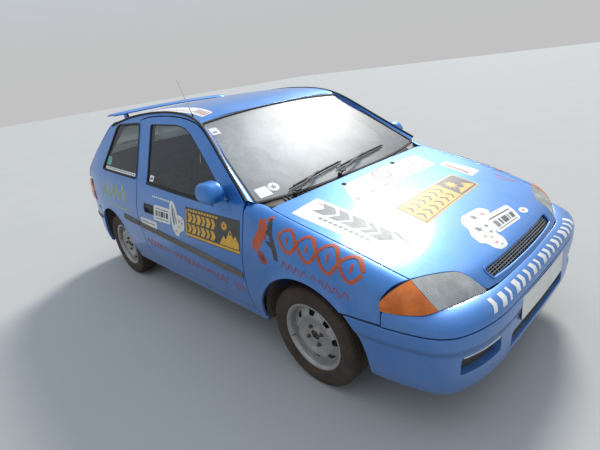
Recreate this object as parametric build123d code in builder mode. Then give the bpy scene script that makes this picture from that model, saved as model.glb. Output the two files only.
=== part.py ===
from build123d import *
import os
from math import sin, cos, tan, radians, pi

# A small three-door hatchback rally car, right-hand drive.
# Millimetres; +X forward, +Y to the car's left, +Z up.
# The origin is on the ground, below the middle of the overall box.

os.makedirs("parts", exist_ok=True)

# ---------------------------------------------------------------- sizes
LENGTH = 3745.0
HALF_L = LENGTH / 2
HALF_W = 795.0            # half of the 1590 body width
ROOF_Z = 1376.0           # roof crown
AXLE_F, AXLE_R = 1080.0, -1185.0
TRACK_F, TRACK_R = 1364.0, 1340.0
TYRE_R, TYRE_W = 273.5, 157.0
RIM_SEAT_R, RIM_LIP_R = 166.0, 182.0
GAP = 6.0                 # shut gap round doors and lids
SKIN = 14.0               # bonnet, fender and bumper skins
FRAME_T = 45.0            # pillar, roof and window frame thickness
DOOR_IN_Y = 690.0         # inner face of the doors and sides below the glass
FLOOR_Z = 236.0
BELT_Z0, BELT_RISE = 900.0, 0.045   # belt line height at x = 0, rise per mm rearwards
WS_BASE = (843.0, 905.0)  # windscreen foot on the centre line (x, z)
WS_TILT = 32.0            # windscreen angle above the horizontal
WS_BOW = 23.0             # how far its sides fall back at y = 690
ARCH_F = (1098.0, 272.0, 345.0)     # front wheel arch x, z, radius
ARCH_R = (-1178.0, 290.0, 335.0)    # rear wheel arch x, z, radius
GLASS_T = 5.0
STEER_MAX = 32.0


# ---------------------------------------------------------------- prisms
def side_prism(outline, y0=-1000.0, y1=1000.0, grow=0.0, round_r=0.0):
    """A side-view outline of (x, z) points, from width y0 to y1."""
    with BuildPart() as p:
        with BuildSketch(Plane.XZ.offset(-y1)) as s:
            with BuildLine():
                Polyline(*outline, close=True)
            make_face()
            if round_r:
                fillet(s.vertices(), round_r)
            if grow:
                offset(amount=grow, kind=Kind.INTERSECTION)
        extrude(amount=y1 - y0)
    return p.part


def plan_prism(outline, z0=0.0, z1=1500.0, grow=0.0):
    """A plan outline of (x, y) points, from height z0 to z1."""
    with BuildPart() as p:
        with BuildSketch(Plane.XY.offset(z0)):
            with BuildLine():
                Polyline(*outline, close=True)
            make_face()
            if grow:
                offset(amount=grow, kind=Kind.INTERSECTION)
        extrude(amount=z1 - z0)
    return p.part


def front_prism(outline, x0=-2000.0, x1=2000.0, grow=0.0):
    """A front-view outline of (y, z) points, from x0 to x1."""
    with BuildPart() as p:
        with BuildSketch(Plane.YZ.offset(x0)):
            with BuildLine():
                Polyline(*outline, close=True)
            make_face()
            if grow:
                offset(amount=grow, kind=Kind.INTERSECTION)
        extrude(amount=x1 - x0)
    return p.part


def both_sides(points):
    """A half outline (first number positive) closed by its mirror image."""
    return list(points) + [(-a, b) for a, b in reversed(points)]


def block(x, y, z):
    """A plain block between (low, high) pairs."""
    with BuildPart() as p:
        with BuildSketch(Plane.XY.offset(z[0])):
            with Locations(((x[0] + x[1]) / 2, (y[0] + y[1]) / 2)):
                Rectangle(x[1] - x[0], y[1] - y[0])
        extrude(amount=z[1] - z[0])
    return p.part


def cross_bar(x, z, r, y0, y1):
    """A round bar across the car."""
    with BuildPart() as p:
        with BuildSketch(Plane.XZ.offset(-y1)):
            with Locations((x, z)):
                Circle(r)
        extrude(amount=y1 - y0)
    return p.part


def rod(a, b, r):
    """A round bar from point a to point b."""
    a, b = Vector(*a), Vector(*b)
    with BuildPart() as p:
        with BuildSketch(Plane(origin=a, z_dir=(b - a))):
            Circle(r)
        extrude(amount=(b - a).length)
    return p.part


# ---------------------------------------------------------------- body masters
# plan outline at the widest height: (x, half width), front and rear ends as arcs
def plan_master(inset, z0=150.0, z1=1450.0):
    with BuildPart() as p:
        with BuildSketch(Plane.XY.offset(z0)):
            with BuildLine():
                Line((-900, HALF_W), (1150, HALF_W))
                ThreePointArc((1150, HALF_W), (1450, 782), (1700, 736))
                ThreePointArc((1700, 736), (1795, 662), (1845, 545))
                ThreePointArc((1845, 545), (HALF_L, 0), (1845, -545))
                ThreePointArc((1845, -545), (1795, -662), (1700, -736))
                ThreePointArc((1700, -736), (1450, -782), (1150, -HALF_W))
                Line((1150, -HALF_W), (-900, -HALF_W))
                ThreePointArc((-900, -HALF_W), (-1400, -778), (-1680, -738))
                ThreePointArc((-1680, -738), (-1790, -665), (-1842, -545))
                ThreePointArc((-1842, -545), (-HALF_L, 0), (-1842, 545))
                ThreePointArc((-1842, 545), (-1790, 665), (-1680, 738))
                ThreePointArc((-1680, 738), (-1400, 778), (-900, HALF_W))
            make_face()
            if inset:
                offset(amount=-inset, kind=Kind.ARC)
        extrude(amount=z1 - z0)
    return p.part


# windscreen plane: local x across the car, local y into the cabin, z up the glass
WS_DIR = Vector(-cos(radians(WS_TILT)), 0, sin(radians(WS_TILT)))
WS_PLANE = Plane(origin=(WS_BASE[0], 0, WS_BASE[1]), x_dir=(0, 1, 0), z_dir=WS_DIR)


def ws_slab(d0, d1, half=900.0):
    """The space between two depths behind the windscreen's outer face."""
    bow = WS_BOW * (half / 690.0) ** 2
    with BuildPart() as p:
        with BuildSketch(WS_PLANE.offset(-400)):
            with BuildLine():
                ThreePointArc((-half, d0 + bow), (0, d0), (half, d0 + bow))
                Line((half, d0 + bow), (half, d1 + bow))
                ThreePointArc((half, d1 + bow), (0, d1), (-half, d1 + bow))
                Line((-half, d1 + bow), (-half, d0 + bow))
            make_face()
        extrude(amount=1900)
    return p.part


# cabin section: side wall, tumblehome and roof, for wall inset t
def cabin_master(t):
    k = t * 1.09
    with BuildPart() as p:
        with BuildSketch(Plane.YZ.offset(-1900)):
            with BuildLine() as half:
                Line((0, FLOOR_Z), (748 - t, FLOOR_Z))
                Line((748 - t, FLOOR_Z), (HALF_W - t, 440))
                Line((HALF_W - t, 440), (HALF_W - t, 580))
                ThreePointArc((HALF_W - t, 580), (789 - t, 745), (770 - k, 900))
                Line((770 - k, 900), (598 - k, 1292))
                Line((598 - k, 1292), (582 - k, 1350 - t))
                ThreePointArc((582 - k, 1350 - t), (290, 1370 - t), (0, ROOF_Z - t))
                Line((0, ROOF_Z - t), (0, FLOOR_Z))
            make_face()
            mirror(about=Plane.YZ)
        extrude(amount=1900 + 760)
        with BuildSketch(Plane.XZ.offset(-900)):
            with BuildLine():
                Line((760, 0), (760, 1500))
                Line((760, 1500), (190, 1500))
                Line((190, 1500), (190, 1316 - t))
                ThreePointArc((190, 1316 - t), (0, 1363 - t), (-250, ROOF_Z - t))
                ThreePointArc((-250, ROOF_Z - t), (-740, 1362 - t), (-1180 + t, 1312 - t))
                Line((-1180 + t, 1312 - t), (-1610 + k, 985 - t * 0.3))
                Line((-1610 + k, 985 - t * 0.3), (-1722 + t, 760))
                Line((-1722 + t, 760), (-1760 + t, 600))
                Line((-1760 + t, 600), (-1760 + t, 0))
                Line((-1760 + t, 0), (760, 0))
            make_face()
        extrude(amount=1800, mode=Mode.INTERSECT)
        add(plan_master(t), mode=Mode.INTERSECT)
        add(ws_slab(t - 900, t), mode=Mode.SUBTRACT)
    return p.part


# front section, swept down the bonnet in two slopes, for skin inset t
BONNET_RUNS = [  # start x, end x, drop per mm, how far the section is lower at its start
    (695.0, 1271.0, 0.235, 0.0),
    (1271.0, 1900.0, 0.30, 135.36),
]


FRONT_SECTION = [  # across, height at x = 695: bonnet crown in flats, shoulder, side
    (0, 950), (240, 948), (480, 941.5), (702, 931), (742, 912), (776, 856), (812, 560),
]


def front_master(t):
    with BuildPart() as p:
        for x0, x1, drop, low in BONNET_RUNS:
            top = [(y - (t if y > 702 else 0), z - low - (t if z > 560 else 0)) for y, z in FRONT_SECTION]
            with BuildSketch(Plane.YZ.offset(x0)):
                with BuildLine():
                    Polyline(*both_sides(top[1:])[:len(top) - 1], (812 - t, -300), (-812 + t, -300),
                             *both_sides(top[1:])[len(top) - 1:], (0, 950 - t - low), close=True)
                make_face()
            run = Vector(1.0, 0, -drop)
            extrude(amount=(x1 - x0) * run.length, dir=run)
        with BuildSketch(Plane.XZ.offset(-900)):
            with BuildLine():
                Polyline((600, FLOOR_Z - 6), (1836 - t, FLOOR_Z - 6), (HALF_L - t, 400),
                         (HALF_L - t, 540), (1808 - t, 600 - t * 0.3),
                         (1720 - t * 0.806, 720 - t * 0.591), (1600, 1200), (600, 1200), close=True)
            make_face()
        extrude(amount=1800, mode=Mode.INTERSECT)
        add(plan_master(t), mode=Mode.INTERSECT)
    return p.part


def lamp_master(t):
    """The nose leaning back from the bumper's top edge, where the lamps are."""
    run = Vector(-1.5, 0, 1)
    with BuildPart() as p:
        with BuildSketch(Plane.XY.offset(560)):
            with BuildLine():
                Line((900, 790), (1500, 790))
                ThreePointArc((1500, 790), (1700, 742), (1806, 650))
                ThreePointArc((1806, 650), (1858, 420), (1872, 0))
                ThreePointArc((1872, 0), (1858, -420), (1806, -650))
                ThreePointArc((1806, -650), (1700, -742), (1500, -790))
                Line((1500, -790), (900, -790))
                Line((900, -790), (900, 790))
            make_face()
            if t:
                offset(amount=-t, kind=Kind.ARC)
        extrude(amount=200 * run.length, dir=run)
    return p.part


cabin_outer = cabin_master(0)
cabin_flange = cabin_master(24)
cabin_frame = cabin_master(FRAME_T)
front_outer = front_master(0)
front_skin = front_master(SKIN)
front_deep = front_master(85)

# hollow inside the cabin: straight walls below the belt, frame thickness above
with BuildPart() as cabin_hollow:
    add(cabin_frame)
    add(front_prism(both_sides([(DOOR_IN_Y, 0), (DOOR_IN_Y, 892), (900, 892), (900, 1400)])),
        mode=Mode.INTERSECT)
    add(block((-1900, 800), (-900, 900), (200, 1400)), mode=Mode.INTERSECT)

with BuildPart() as cabin_wall:
    add(cabin_outer)
    add(cabin_hollow.part, mode=Mode.SUBTRACT)
cabin_wall = cabin_wall.part

# doors are cut from the side walls alone
with BuildPart() as side_wall:
    add(cabin_outer)
    add(front_prism(both_sides([(DOOR_IN_Y, 0), (DOOR_IN_Y, 892), (734, 893), (575, 1262),
                                (562, 1292), (562, 1500)])), mode=Mode.SUBTRACT)
side_wall = side_wall.part

with BuildPart() as front_wall:
    add(front_outer)
    add(front_skin, mode=Mode.SUBTRACT)
front_wall = front_wall.part

# ---------------------------------------------------------------- outlines
# side view (x, z)
DOOR_FRONT = [(662, 300), (659, 523), (673, 641), (711, 791), (733, 936)]
DOOR = DOOR_FRONT + [(629, 1005), (465, 1114), (283, 1234), (195, 1280), (91, 1305), (-20, 1320),
                     (-209, 1331), (-440, 1328), (-578, 1314), (-512, 905), (-545, 807),
                     (-596, 670), (-584, 560), (-556, 380), (-520, 300)]
DOOR_INNER = [(646, 316), (643, 523), (657, 643), (695, 793), (705, 922), (612, 998), (452, 1101),
              (276, 1216), (190, 1263), (88, 1288), (-22, 1303), (-209, 1314), (-440, 1311),
              (-560, 1299), (-493, 903), (-527, 803), (-577, 668), (-566, 562), (-539, 388),
              (-509, 316)]
DOOR_GLASS = [(598, 884), (560, 934), (420, 1040), (240, 1162), (120, 1240), (50, 1276), (-60, 1292),
              (-432, 1296), (-366, 922), (0, 906)]
QUARTER_GLASS = [(-524, 932), (-590, 1296), (-960, 1286), (-1010, 1268), (-1206, 962)]
FENDER_FRONT = [(1398, 531), (1526, 531), (1520, 606), (1512, 640), (1600, 760)]
# plan view (x, y), right half then left half
BONNET = both_sides([(866, 0), (862, 400), (850, 688), (1010, 690), (1271, 678), (1420, 652),
                     (1558, 608), (1655, 412), (1900, 400)][1:])
BONNET = [(a, b) for a, b in [(862, 400), (850, 688), (1010, 690), (1271, 678), (1420, 652),
                              (1558, 608), (1655, 412), (1900, 400)]]
BONNET = BONNET + [(a, -b) for a, b in reversed(BONNET)] + [(868, 0)]
LAMP_SPLIT = [(1500, -640), (1610, -640), (1672, -690), (1720, -760), (1720, -900), (1500, -900)]


def mirrored(shape):
    """The same piece on the other side of the car."""
    with BuildPart() as p:
        add(shape)
    return p.part.mirror(Plane.XZ)


def save(part, label):
    part.label = label
    export_step(part, f"parts/{label}.step")


def pair_node(shape, label):
    """Right and left pieces that don't touch, kept in one node."""
    with BuildPart() as p:
        add(shape)
        mirror(about=Plane.XZ)
    save(p.part, label)
    return p.part


def wheel_arch(spec, y0, y1, grow=0.0):
    x, z, r = spec
    return cross_bar(x, z, r + grow, y0, y1)


# ---------------------------------------------------------------- doors
def door_solid():
    with BuildPart() as p:
        add(side_wall)
        add(side_prism(DOOR, -1000, -450), mode=Mode.INTERSECT)
        # the inner box is smaller than the outer panel, as on a hemmed door
        with BuildPart(mode=Mode.PRIVATE) as rim:
            add(side_prism(DOOR, -1000, -400, grow=1))
            add(side_prism(DOOR_INNER, -1000, -400), mode=Mode.SUBTRACT)
            add(cabin_flange, mode=Mode.INTERSECT)
        add(rim.part, mode=Mode.SUBTRACT)
        add(side_prism(DOOR_GLASS, -1000, -400), mode=Mode.SUBTRACT)
    return p.part


with BuildPart() as door_right:
    add(door_solid())
save(door_right.part, "door_right")

with BuildPart() as door_left:
    add(door_right.part.mirror(Plane.XZ))
save(door_left.part, "door_left")

with BuildPart() as door_glass_right:
    add(cabin_master(14))
    add(cabin_master(14 + GLASS_T), mode=Mode.SUBTRACT)
    add(side_prism(DOOR_GLASS, -1000, -400), mode=Mode.INTERSECT)
save(door_glass_right.part, "door_glass_right")

with BuildPart() as door_glass_left:
    add(door_glass_right.part.mirror(Plane.XZ))
save(door_glass_left.part, "door_glass_left")

# ---------------------------------------------------------------- front fenders
BUMPER_F = [(1392, 200), (1404, 525), (1520, 525), (1520, 594), (1900, 594), (1900, 200)]
LAMP_SIDE = [(1518, 600), (1604, 716), (1700, 760), (1900, 760), (1900, 600)]
with BuildPart() as fender_right:
    add(front_wall)
    add(block((650, 1640), (-900, -560), (262, 1000)), mode=Mode.INTERSECT)
    add(side_prism([(p[0] + GAP + 1, p[1]) for p in DOOR_FRONT] + [(733 + GAP, 1200), (500, 1200), (500, 200), (668, 200)],
                   -1000, -400), mode=Mode.SUBTRACT)
    add(wheel_arch(ARCH_F, -1000, -500), mode=Mode.SUBTRACT)
    add(plan_prism(BONNET, 560, 1000, grow=GAP), mode=Mode.SUBTRACT)
    add(side_prism(BUMPER_F, -1000, -400, grow=4), mode=Mode.SUBTRACT)
    add(side_prism(LAMP_SIDE, -1000, -400, grow=3), mode=Mode.SUBTRACT)
    add(plan_prism([(500, -676), (500, 0), (869, 0), (869, -676)], 700, 1100), mode=Mode.SUBTRACT)
pair_node(fender_right.part, "front_fenders")

# ---------------------------------------------------------------- body sides
BODY_SIDE_SPLIT_Y = 556.0


def ws_aperture(grow=0.0):
    """The windscreen opening, cut square to the glass."""
    across = Plane(origin=(WS_BASE[0], 0, WS_BASE[1]), x_dir=(0, 1, 0),
                   z_dir=(sin(radians(WS_TILT)), 0, cos(radians(WS_TILT))))
    with BuildPart() as p:
        with BuildSketch(across.offset(-260)):
            with BuildLine():
                Polyline((-664, 22), (-530, 724), (-300, 758), (0, 766), (300, 758), (530, 724),
                         (664, 22), (420, 12), (0, 6), (-420, 12), close=True)
            make_face()
        extrude(amount=400)
    return p.part


TAILGATE = both_sides([(538, 1345), (546, 1296), (628, 985), (642, 858), (432, 846), (424, 612)])
TAILGATE_CUT = both_sides([(548, 1345), (548, 1296), (628, 985), (642, 858), (432, 846), (424, 612)])
TAILGATE_INNER = both_sides([(500, 1340), (528, 1290), (606, 980), (616, 880), (412, 868),
                             (404, 632)])
TAIL_X = -1112.0          # front edge of the tailgate, at the roof


def tailgate_zone(outline, grow=0.0, front=TAIL_X):
    return front_prism(outline, -2000, front, grow=grow)


HINGE_POST = [(640, 240), (640, 288), (674, 288), (671, 523), (684, 641), (722, 791), (738, 874),
              (756, 874), (748, 780), (722, 640), (712, 523), (712, 240)]
PILLAR_STRIP = [(830, 900), (690, 936), (596, 982), (432, 1084), (258, 1202), (174, 1246),
                (140, 1300), (300, 1400), (900, 1100)]
with BuildPart() as door_opening:
    add(side_prism(DOOR, -1000, -400, grow=GAP))
    with BuildPart(mode=Mode.PRIVATE) as pillar_keep:
        add(side_prism(PILLAR_STRIP, -1000, -400))
        add(front_prism(both_sides([(727, 0), (727, 893), (568, 1262), (555, 1292), (555, 1500)])),
            mode=Mode.INTERSECT)
    add(pillar_keep.part, mode=Mode.SUBTRACT)

with BuildPart() as side_right:
    add(cabin_wall)
    add(block((-1900, 700), (-1000, -BODY_SIDE_SPLIT_Y), (0, 1500)), mode=Mode.INTERSECT)
    add(door_opening.part, mode=Mode.SUBTRACT)
    add(side_prism([(662, 200)] + DOOR_FRONT[:-1] + [(731, 926), (1100, 926), (1100, 200)], -1000, -400),
        mode=Mode.SUBTRACT)
    add(side_prism(HINGE_POST, -728, -690))
    # foot of the windscreen pillar, inboard of the fender
    add(block((712, 756), (-728, -640), (836, 872)))
    add(side_prism([(700, 836), (700, 960), (742, 950), (790, 906), (790, 836)], -674, -640))
    add(ws_slab(-500, 6), mode=Mode.SUBTRACT)
    add(ws_aperture(), mode=Mode.SUBTRACT)
    add(side_prism(QUARTER_GLASS, -1000, -400), mode=Mode.SUBTRACT)
    add(ws_aperture(), mode=Mode.SUBTRACT)
    add(wheel_arch(ARCH_R, -1000, -540), mode=Mode.SUBTRACT)
    add(fender_right.part, mode=Mode.SUBTRACT)
    add(tailgate_zone(TAILGATE_CUT, grow=GAP + 2, front=TAIL_X + GAP), mode=Mode.SUBTRACT)
    # the tail below the belt, behind the lamps and bumper, is other panels
    add(block((-1900, -1540), (-1000, 0), (600, 848)), mode=Mode.SUBTRACT)
    add(block((-1900, -1440), (-1000, 0), (0, 606)), mode=Mode.SUBTRACT)
pair_node(side_right.part, "body_sides")

with BuildPart() as quarter_right:
    add(cabin_master(6))
    add(cabin_master(6 + GLASS_T), mode=Mode.SUBTRACT)
    add(side_prism(QUARTER_GLASS, -1000, -400), mode=Mode.INTERSECT)
pair_node(quarter_right.part, "quarter_glasses")

# ---------------------------------------------------------------- roof and windscreen
with BuildPart() as roof_panel:
    add(cabin_wall)
    add(block((TAIL_X + GAP, 400), (-BODY_SIDE_SPLIT_Y, BODY_SIDE_SPLIT_Y), (1270, 1500)),
        mode=Mode.INTERSECT)
    add(ws_aperture(), mode=Mode.SUBTRACT)
save(roof_panel.part, "roof_panel")

with BuildPart() as windscreen:
    add(ws_slab(5, 5 + GLASS_T))
    add(ws_aperture(), mode=Mode.INTERSECT)
save(windscreen.part, "windscreen")


# ---------------------------------------------------------------- tailgate
with BuildPart() as tailgate:
    add(cabin_outer)
    add(cabin_frame, mode=Mode.SUBTRACT)
    add(tailgate_zone(TAILGATE), mode=Mode.INTERSECT)
    with BuildPart(mode=Mode.PRIVATE) as tg_rim:
        add(tailgate_zone(TAILGATE, grow=1))
        add(tailgate_zone(TAILGATE_INNER, front=TAIL_X - 20), mode=Mode.SUBTRACT)
        add(cabin_flange, mode=Mode.INTERSECT)
    add(tg_rim.part, mode=Mode.SUBTRACT)
    add(front_prism(both_sides([(480, 1272), (556, 1016)]), -2000, -1150), mode=Mode.SUBTRACT)
save(tailgate.part, "tailgate")

with BuildPart() as tailgate_glass:
    add(cabin_master(6))
    add(cabin_master(6 + GLASS_T), mode=Mode.SUBTRACT)
    add(front_prism(both_sides([(480, 1272), (556, 1016)]), -2000, -1150), mode=Mode.INTERSECT)
save(tailgate_glass.part, "tailgate_glass")

with BuildPart() as spoiler:
    # blade and two feet, side outlines (x, z)
    add(side_prism([(-1136, 1350), (-1160, 1366), (-1330, 1356), (-1346, 1346), (-1330, 1338),
                    (-1160, 1340)], -548, 548))
    for y in (-440.0, 400.0):
        add(side_prism([(-1190, 1345), (-1190, 1290), (-1300, 1200), (-1300, 1345)], y, y + 40))
    add(cabin_outer, mode=Mode.SUBTRACT)
save(spoiler.part, "spoiler")

PLATE_W, PLATE_H, PLATE_T = 520.0, 111.0, 3.0
REAR_FACE = Plane(origin=(-1741, 0, 680), x_dir=(0, 1, 0), z_dir=(-160, 0, 38))
with BuildPart() as rear_plate:
    with BuildSketch(REAR_FACE):
        Rectangle(PLATE_W, PLATE_H)
    extrude(amount=PLATE_T)
save(rear_plate.part, "rear_plate")

# ---------------------------------------------------------------- tail
LAMP_REAR = [(448, 638), (448, 842), (780, 842), (780, 638)]
with BuildPart() as tail_lamp_right:
    add(cabin_outer)
    add(cabin_master(60), mode=Mode.SUBTRACT)
    add(front_prism([(-a, b) for a, b in LAMP_REAR], -2000, -1546), mode=Mode.INTERSECT)
pair_node(tail_lamp_right.part, "tail_lamps")

with BuildPart() as rear_panel:
    add(cabin_outer)
    add(cabin_frame, mode=Mode.SUBTRACT)
    add(block((-1900, -1546), (-800, 800), (300, 636)), mode=Mode.INTERSECT)
    add(plan_master(32), mode=Mode.INTERSECT)
    add(tailgate_zone(TAILGATE, grow=GAP + 2), mode=Mode.SUBTRACT)
    for side in (1, -1):
        add(front_prism([(side * a, b) for a, b in LAMP_REAR], -2000, -1500), mode=Mode.SUBTRACT)
save(rear_panel.part, "rear_panel")

with BuildPart() as rear_bumper:
    add(plan_master(0, 236, 600))
    add(plan_master(26, 200, 574), mode=Mode.SUBTRACT)
    add(block((-1900, -1446), (-900, 900), (236, 600)), mode=Mode.INTERSECT)
    add(cabin_outer, mode=Mode.SUBTRACT)
    with BuildPart(mode=Mode.PRIVATE) as wrap:
        add(plan_master(0, 236, 600))
        add(plan_master(26, 200, 620), mode=Mode.SUBTRACT)
        add(block((-1900, -1446), (-900, 900), (236, 600)), mode=Mode.INTERSECT)
    add(wrap.part)
    add(wheel_arch(ARCH_R, -1000, 1000), mode=Mode.SUBTRACT)
save(rear_bumper.part, "rear_bumper")

# ---------------------------------------------------------------- nose
NOSE_Z = 602.0
with BuildPart() as bonnet:
    add(front_wall)
    add(plan_prism(BONNET, NOSE_Z, 1000), mode=Mode.INTERSECT)
    add(front_prism(both_sides([(335, 612), (318, 664)]), 1600, 1900), mode=Mode.SUBTRACT)
save(bonnet.part, "bonnet")

with BuildPart() as grille:
    add(front_master(3))
    add(front_master(SKIN), mode=Mode.SUBTRACT)
    add(front_prism(both_sides([(335, 612), (318, 664)]), 1600, 1900), mode=Mode.INTERSECT)
save(grille.part, "grille")

INDICATOR_PLAN = [(1480, -900), (1480, -560), (1604, -560), (1668, -690), (1740, -900)]
with BuildPart() as lamp_right:
    add(front_outer)
    add(lamp_master(0), mode=Mode.INTERSECT)
    add(side_prism(LAMP_SIDE, -900, -408), mode=Mode.INTERSECT)
    add(plan_prism(BONNET, 500, 1000, grow=GAP + 2), mode=Mode.SUBTRACT)
    add(lamp_master(95), mode=Mode.SUBTRACT)
with BuildPart() as headlight_right:
    add(lamp_right.part)
    add(plan_prism(INDICATOR_PLAN, 500, 1000), mode=Mode.SUBTRACT)
pair_node(headlight_right.part, "headlights")
with BuildPart() as indicator_right:
    add(lamp_right.part)
    add(plan_prism(INDICATOR_PLAN, 500, 1000), mode=Mode.INTERSECT)
pair_node(indicator_right.part, "indicators")

with BuildPart() as cowl_panel:
    add(front_wall)
    add(block((790, 900), (-674, 674), (800, 1000)), mode=Mode.INTERSECT)
    add(ws_slab(-200, 0), mode=Mode.INTERSECT)
    add(plan_prism(BONNET, 500, 1100, grow=GAP + 1), mode=Mode.SUBTRACT)
save(cowl_panel.part, "cowl_panel")

INTAKE = both_sides([(330, 262), (352, 368)])
with BuildPart() as front_bumper:
    add(front_outer)
    add(front_master(24), mode=Mode.SUBTRACT)
    add(side_prism(BUMPER_F), mode=Mode.INTERSECT)
    add(wheel_arch(ARCH_F, -1000, 1000), mode=Mode.SUBTRACT)
    add(front_prism(INTAKE, 1600, 1900), mode=Mode.SUBTRACT)
    add(block((1866, 1900), (-264, 264), (398, 517)), mode=Mode.SUBTRACT)
save(front_bumper.part, "front_bumper")

with BuildPart() as front_plate:
    add(block((1866, 1866 + PLATE_T), (-260, 260), (402, 402 + PLATE_H)))
save(front_plate.part, "front_plate")

# ---------------------------------------------------------------- underbody
REAR_FLOOR_Z = 340.0
TOWER = (1080.0, 540.0)   # strut top x, |y|


def tow_eye(x, y, z0, z1, top):
    """A flat ring plate with a 32 mm hole, hung from a short leg at its front."""
    with BuildPart() as p:
        with BuildSketch(Plane.XY.offset(z0)):
            with Locations((x, y)):
                Circle(30)
                with Locations((24, 0)):
                    Rectangle(30, 44)
                Circle(16, mode=Mode.SUBTRACT)
        extrude(amount=z1 - z0)
        add(block((x + 29, x + 39), (y - 22, y + 22), (z0, top)))
    return p.part


with BuildPart() as floor_pan:
    add(block((-905, 680), (-688, 688), (FLOOR_Z, 260)))                  # cabin floor
    add(block((-905, -885), (-524, 524), (FLOOR_Z, REAR_FLOOR_Z + 22)))   # heel board
    add(block((-1712, -885), (-524, 524), (REAR_FLOOR_Z, REAR_FLOOR_Z + 22)))  # luggage floor
    add(block((-300, 680), (-110, 110), (FLOOR_Z, 330)))                  # tunnel
    with BuildSketch(Plane.XY.offset(225)):                               # spare wheel well
        with Locations((-1420, 0)):
            Circle(285)
    extrude(amount=REAR_FLOOR_Z + 22 - 225)
    with BuildSketch(Plane.XY.offset(245)):
        with Locations((-1420, 0)):
            Circle(270)
    extrude(amount=300, mode=Mode.SUBTRACT)
    add(tow_eye(-1678, -300, 300, 314, REAR_FLOOR_Z))
save(floor_pan.part, "floor_pan")

with BuildPart() as bulkhead:
    add(block((680, 700), (-686, 686), (FLOOR_Z, 878)))
    add(block((700, 835), (-640, 640), (836, 862)))                       # scuttle
save(bulkhead.part, "bulkhead")

with BuildPart() as inner_wing:
    add(block((700, 1700), (-428, -372), (310, 380)))                     # front rail
    add(block((700, 1340), (-428, -416), (310, 700)))
    add(block((1340, 1500), (-428, -416), (310, 640)))
    add(block((1500, 1590), (-428, -416), (310, 590)))
    with BuildPart(mode=Mode.PRIVATE) as house:                           # wheelhouse
        add(wheel_arch(ARCH_F, -752, -418, grow=24))
        add(wheel_arch(ARCH_F, -752, -418, grow=10), mode=Mode.SUBTRACT)
        add(block((706, 1440), (-752, -418), (420, 700)), mode=Mode.INTERSECT)
    add(house.part)
    with BuildSketch(Plane.XY.offset(560)):                               # strut tower
        with Locations((TOWER[0], -TOWER[1])):
            Circle(100)
    extrude(amount=230)
    with BuildSketch(Plane.XY.offset(500)):
        with Locations((TOWER[0], -TOWER[1])):
            Circle(90)
    extrude(amount=280, mode=Mode.SUBTRACT)
pair_node(inner_wing.part, "inner_wings")

with BuildPart() as rear_wheelhouse:
    add(wheel_arch(ARCH_R, -688, -524, grow=20))
    add(wheel_arch(ARCH_R, -700, -536, grow=6), mode=Mode.SUBTRACT)
    add(block((-1900, -700), (-700, 700), (300, 700)), mode=Mode.INTERSECT)
pair_node(rear_wheelhouse.part, "rear_wheelhouses")

# the frame behind the grille: lamp panel on two uprights, and the lower cross member
with BuildPart() as front_panel:
    add(block((1590, 1630), (-600, 600), (560, 592)))
    for y in (-416, 386):
        add(block((1590, 1690), (y, y + 30), (380, 592)))
    add(block((1640, 1690), (-428, 428), (262, 310)))
    add(tow_eye(1650, -400, 244, 258, 266))
save(front_panel.part, "front_panel")

with BuildPart() as engine_block:
    add(block((1150, 1480), (-280, 300), (190, 640)))
save(engine_block.part, "engine_block")

with BuildPart() as radiator:
    add(block((1570, 1600), (-330, 330), (300, 555)))
save(radiator.part, "radiator")

with BuildPart() as exhaust:
    path = [(966, -140, 205), (-905, -140, 205), (-985, 120, 290), (-995, 300, 300),
            (-1180, 400, 300), (-1300, 400, 284)]
    for a, b in zip(path, path[1:]):
        add(rod(a, b, 21))
    for q in path[1:-1]:
        with Locations(q):
            Sphere(21)
    add(rod((-1300, 400, 284), (-1620, 400, 276), 50))
    add(rod((-1620, 400, 270), (-1800, 400, 212), 19))
save(exhaust.part, "exhaust")

with BuildPart() as fuel_tank:
    add(block((-860, -480), (-60, 480), (160, 230)))
save(fuel_tank.part, "fuel_tank")

# ---------------------------------------------------------------- front suspension
WHEEL_Z = TYRE_R
BALL = (AXLE_F, 640.0, 190.0)       # lower ball joint x, |y|, z
STRUT_TOP = (AXLE_F, 540.0, 770.0)  # strut top x, |y|, z

with BuildPart() as subframe:
    add(block((980, 1060), (-360, 360), (175, 235)))
    for side in (-1, 1):
        add(rod((1020, side * 350, 195), (1080, side * 634, 176), 15))
        add(rod((1440, side * 312, 225), (1080, side * 606, 176), 11))
        add(rod((1080, side * 636, 162), (1080, side * 636, 192), 17))
save(subframe.part, "front_subframe")

with BuildPart() as driveshafts:
    add(block((1062, 1130), (-170, 170), (200, 330)))                      # final drive
    for side in (-1, 1):
        add(rod((1080, side * 130, 272), (1080, side * 520, 272), 13))
        add(rod((1080, side * 500, 272), (1080, side * 540, 272), 25))     # outer joint
        add(rod((1096, side * 130, 272), (1096, side * 200, 272), 30))
save(driveshafts.part, "driveshafts")


def strut(side):
    with BuildPart() as p:
        add(block((1045, 1115), sorted((side * 566, side * 588)), (224, 400)))
        add(rod((1080, side * 570, 272), (1080, side * 646, 272), 44))
        add(rod((1080, side * 576, 390), (1080, side * 541, 764), 24))
        add(rod((1080, side * 558, 560), (1080, side * 556, 575), 62))
        add(rod((1080, side * 545, 725), (1080, side * 544, 742), 58))
        with BuildPart(mode=Mode.PRIVATE) as coil:
            add(rod((1080, side * 557, 566), (1080, side * 545, 732), 52))
            add(rod((1080, side * 557, 560), (1080, side * 545, 740), 40), mode=Mode.SUBTRACT)
        add(coil.part)
        add(rod((1080, side * 577, 236), (1080, side * 634, 229), 12))
        add(rod((1080, side * 633.1, 230), (1080, side * 638.6, 198), 8))      # ball joint pin
        add(rod((1045, side * 577, 318), (960, side * 570, 318), 10))      # steering arm
    return p.part


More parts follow.
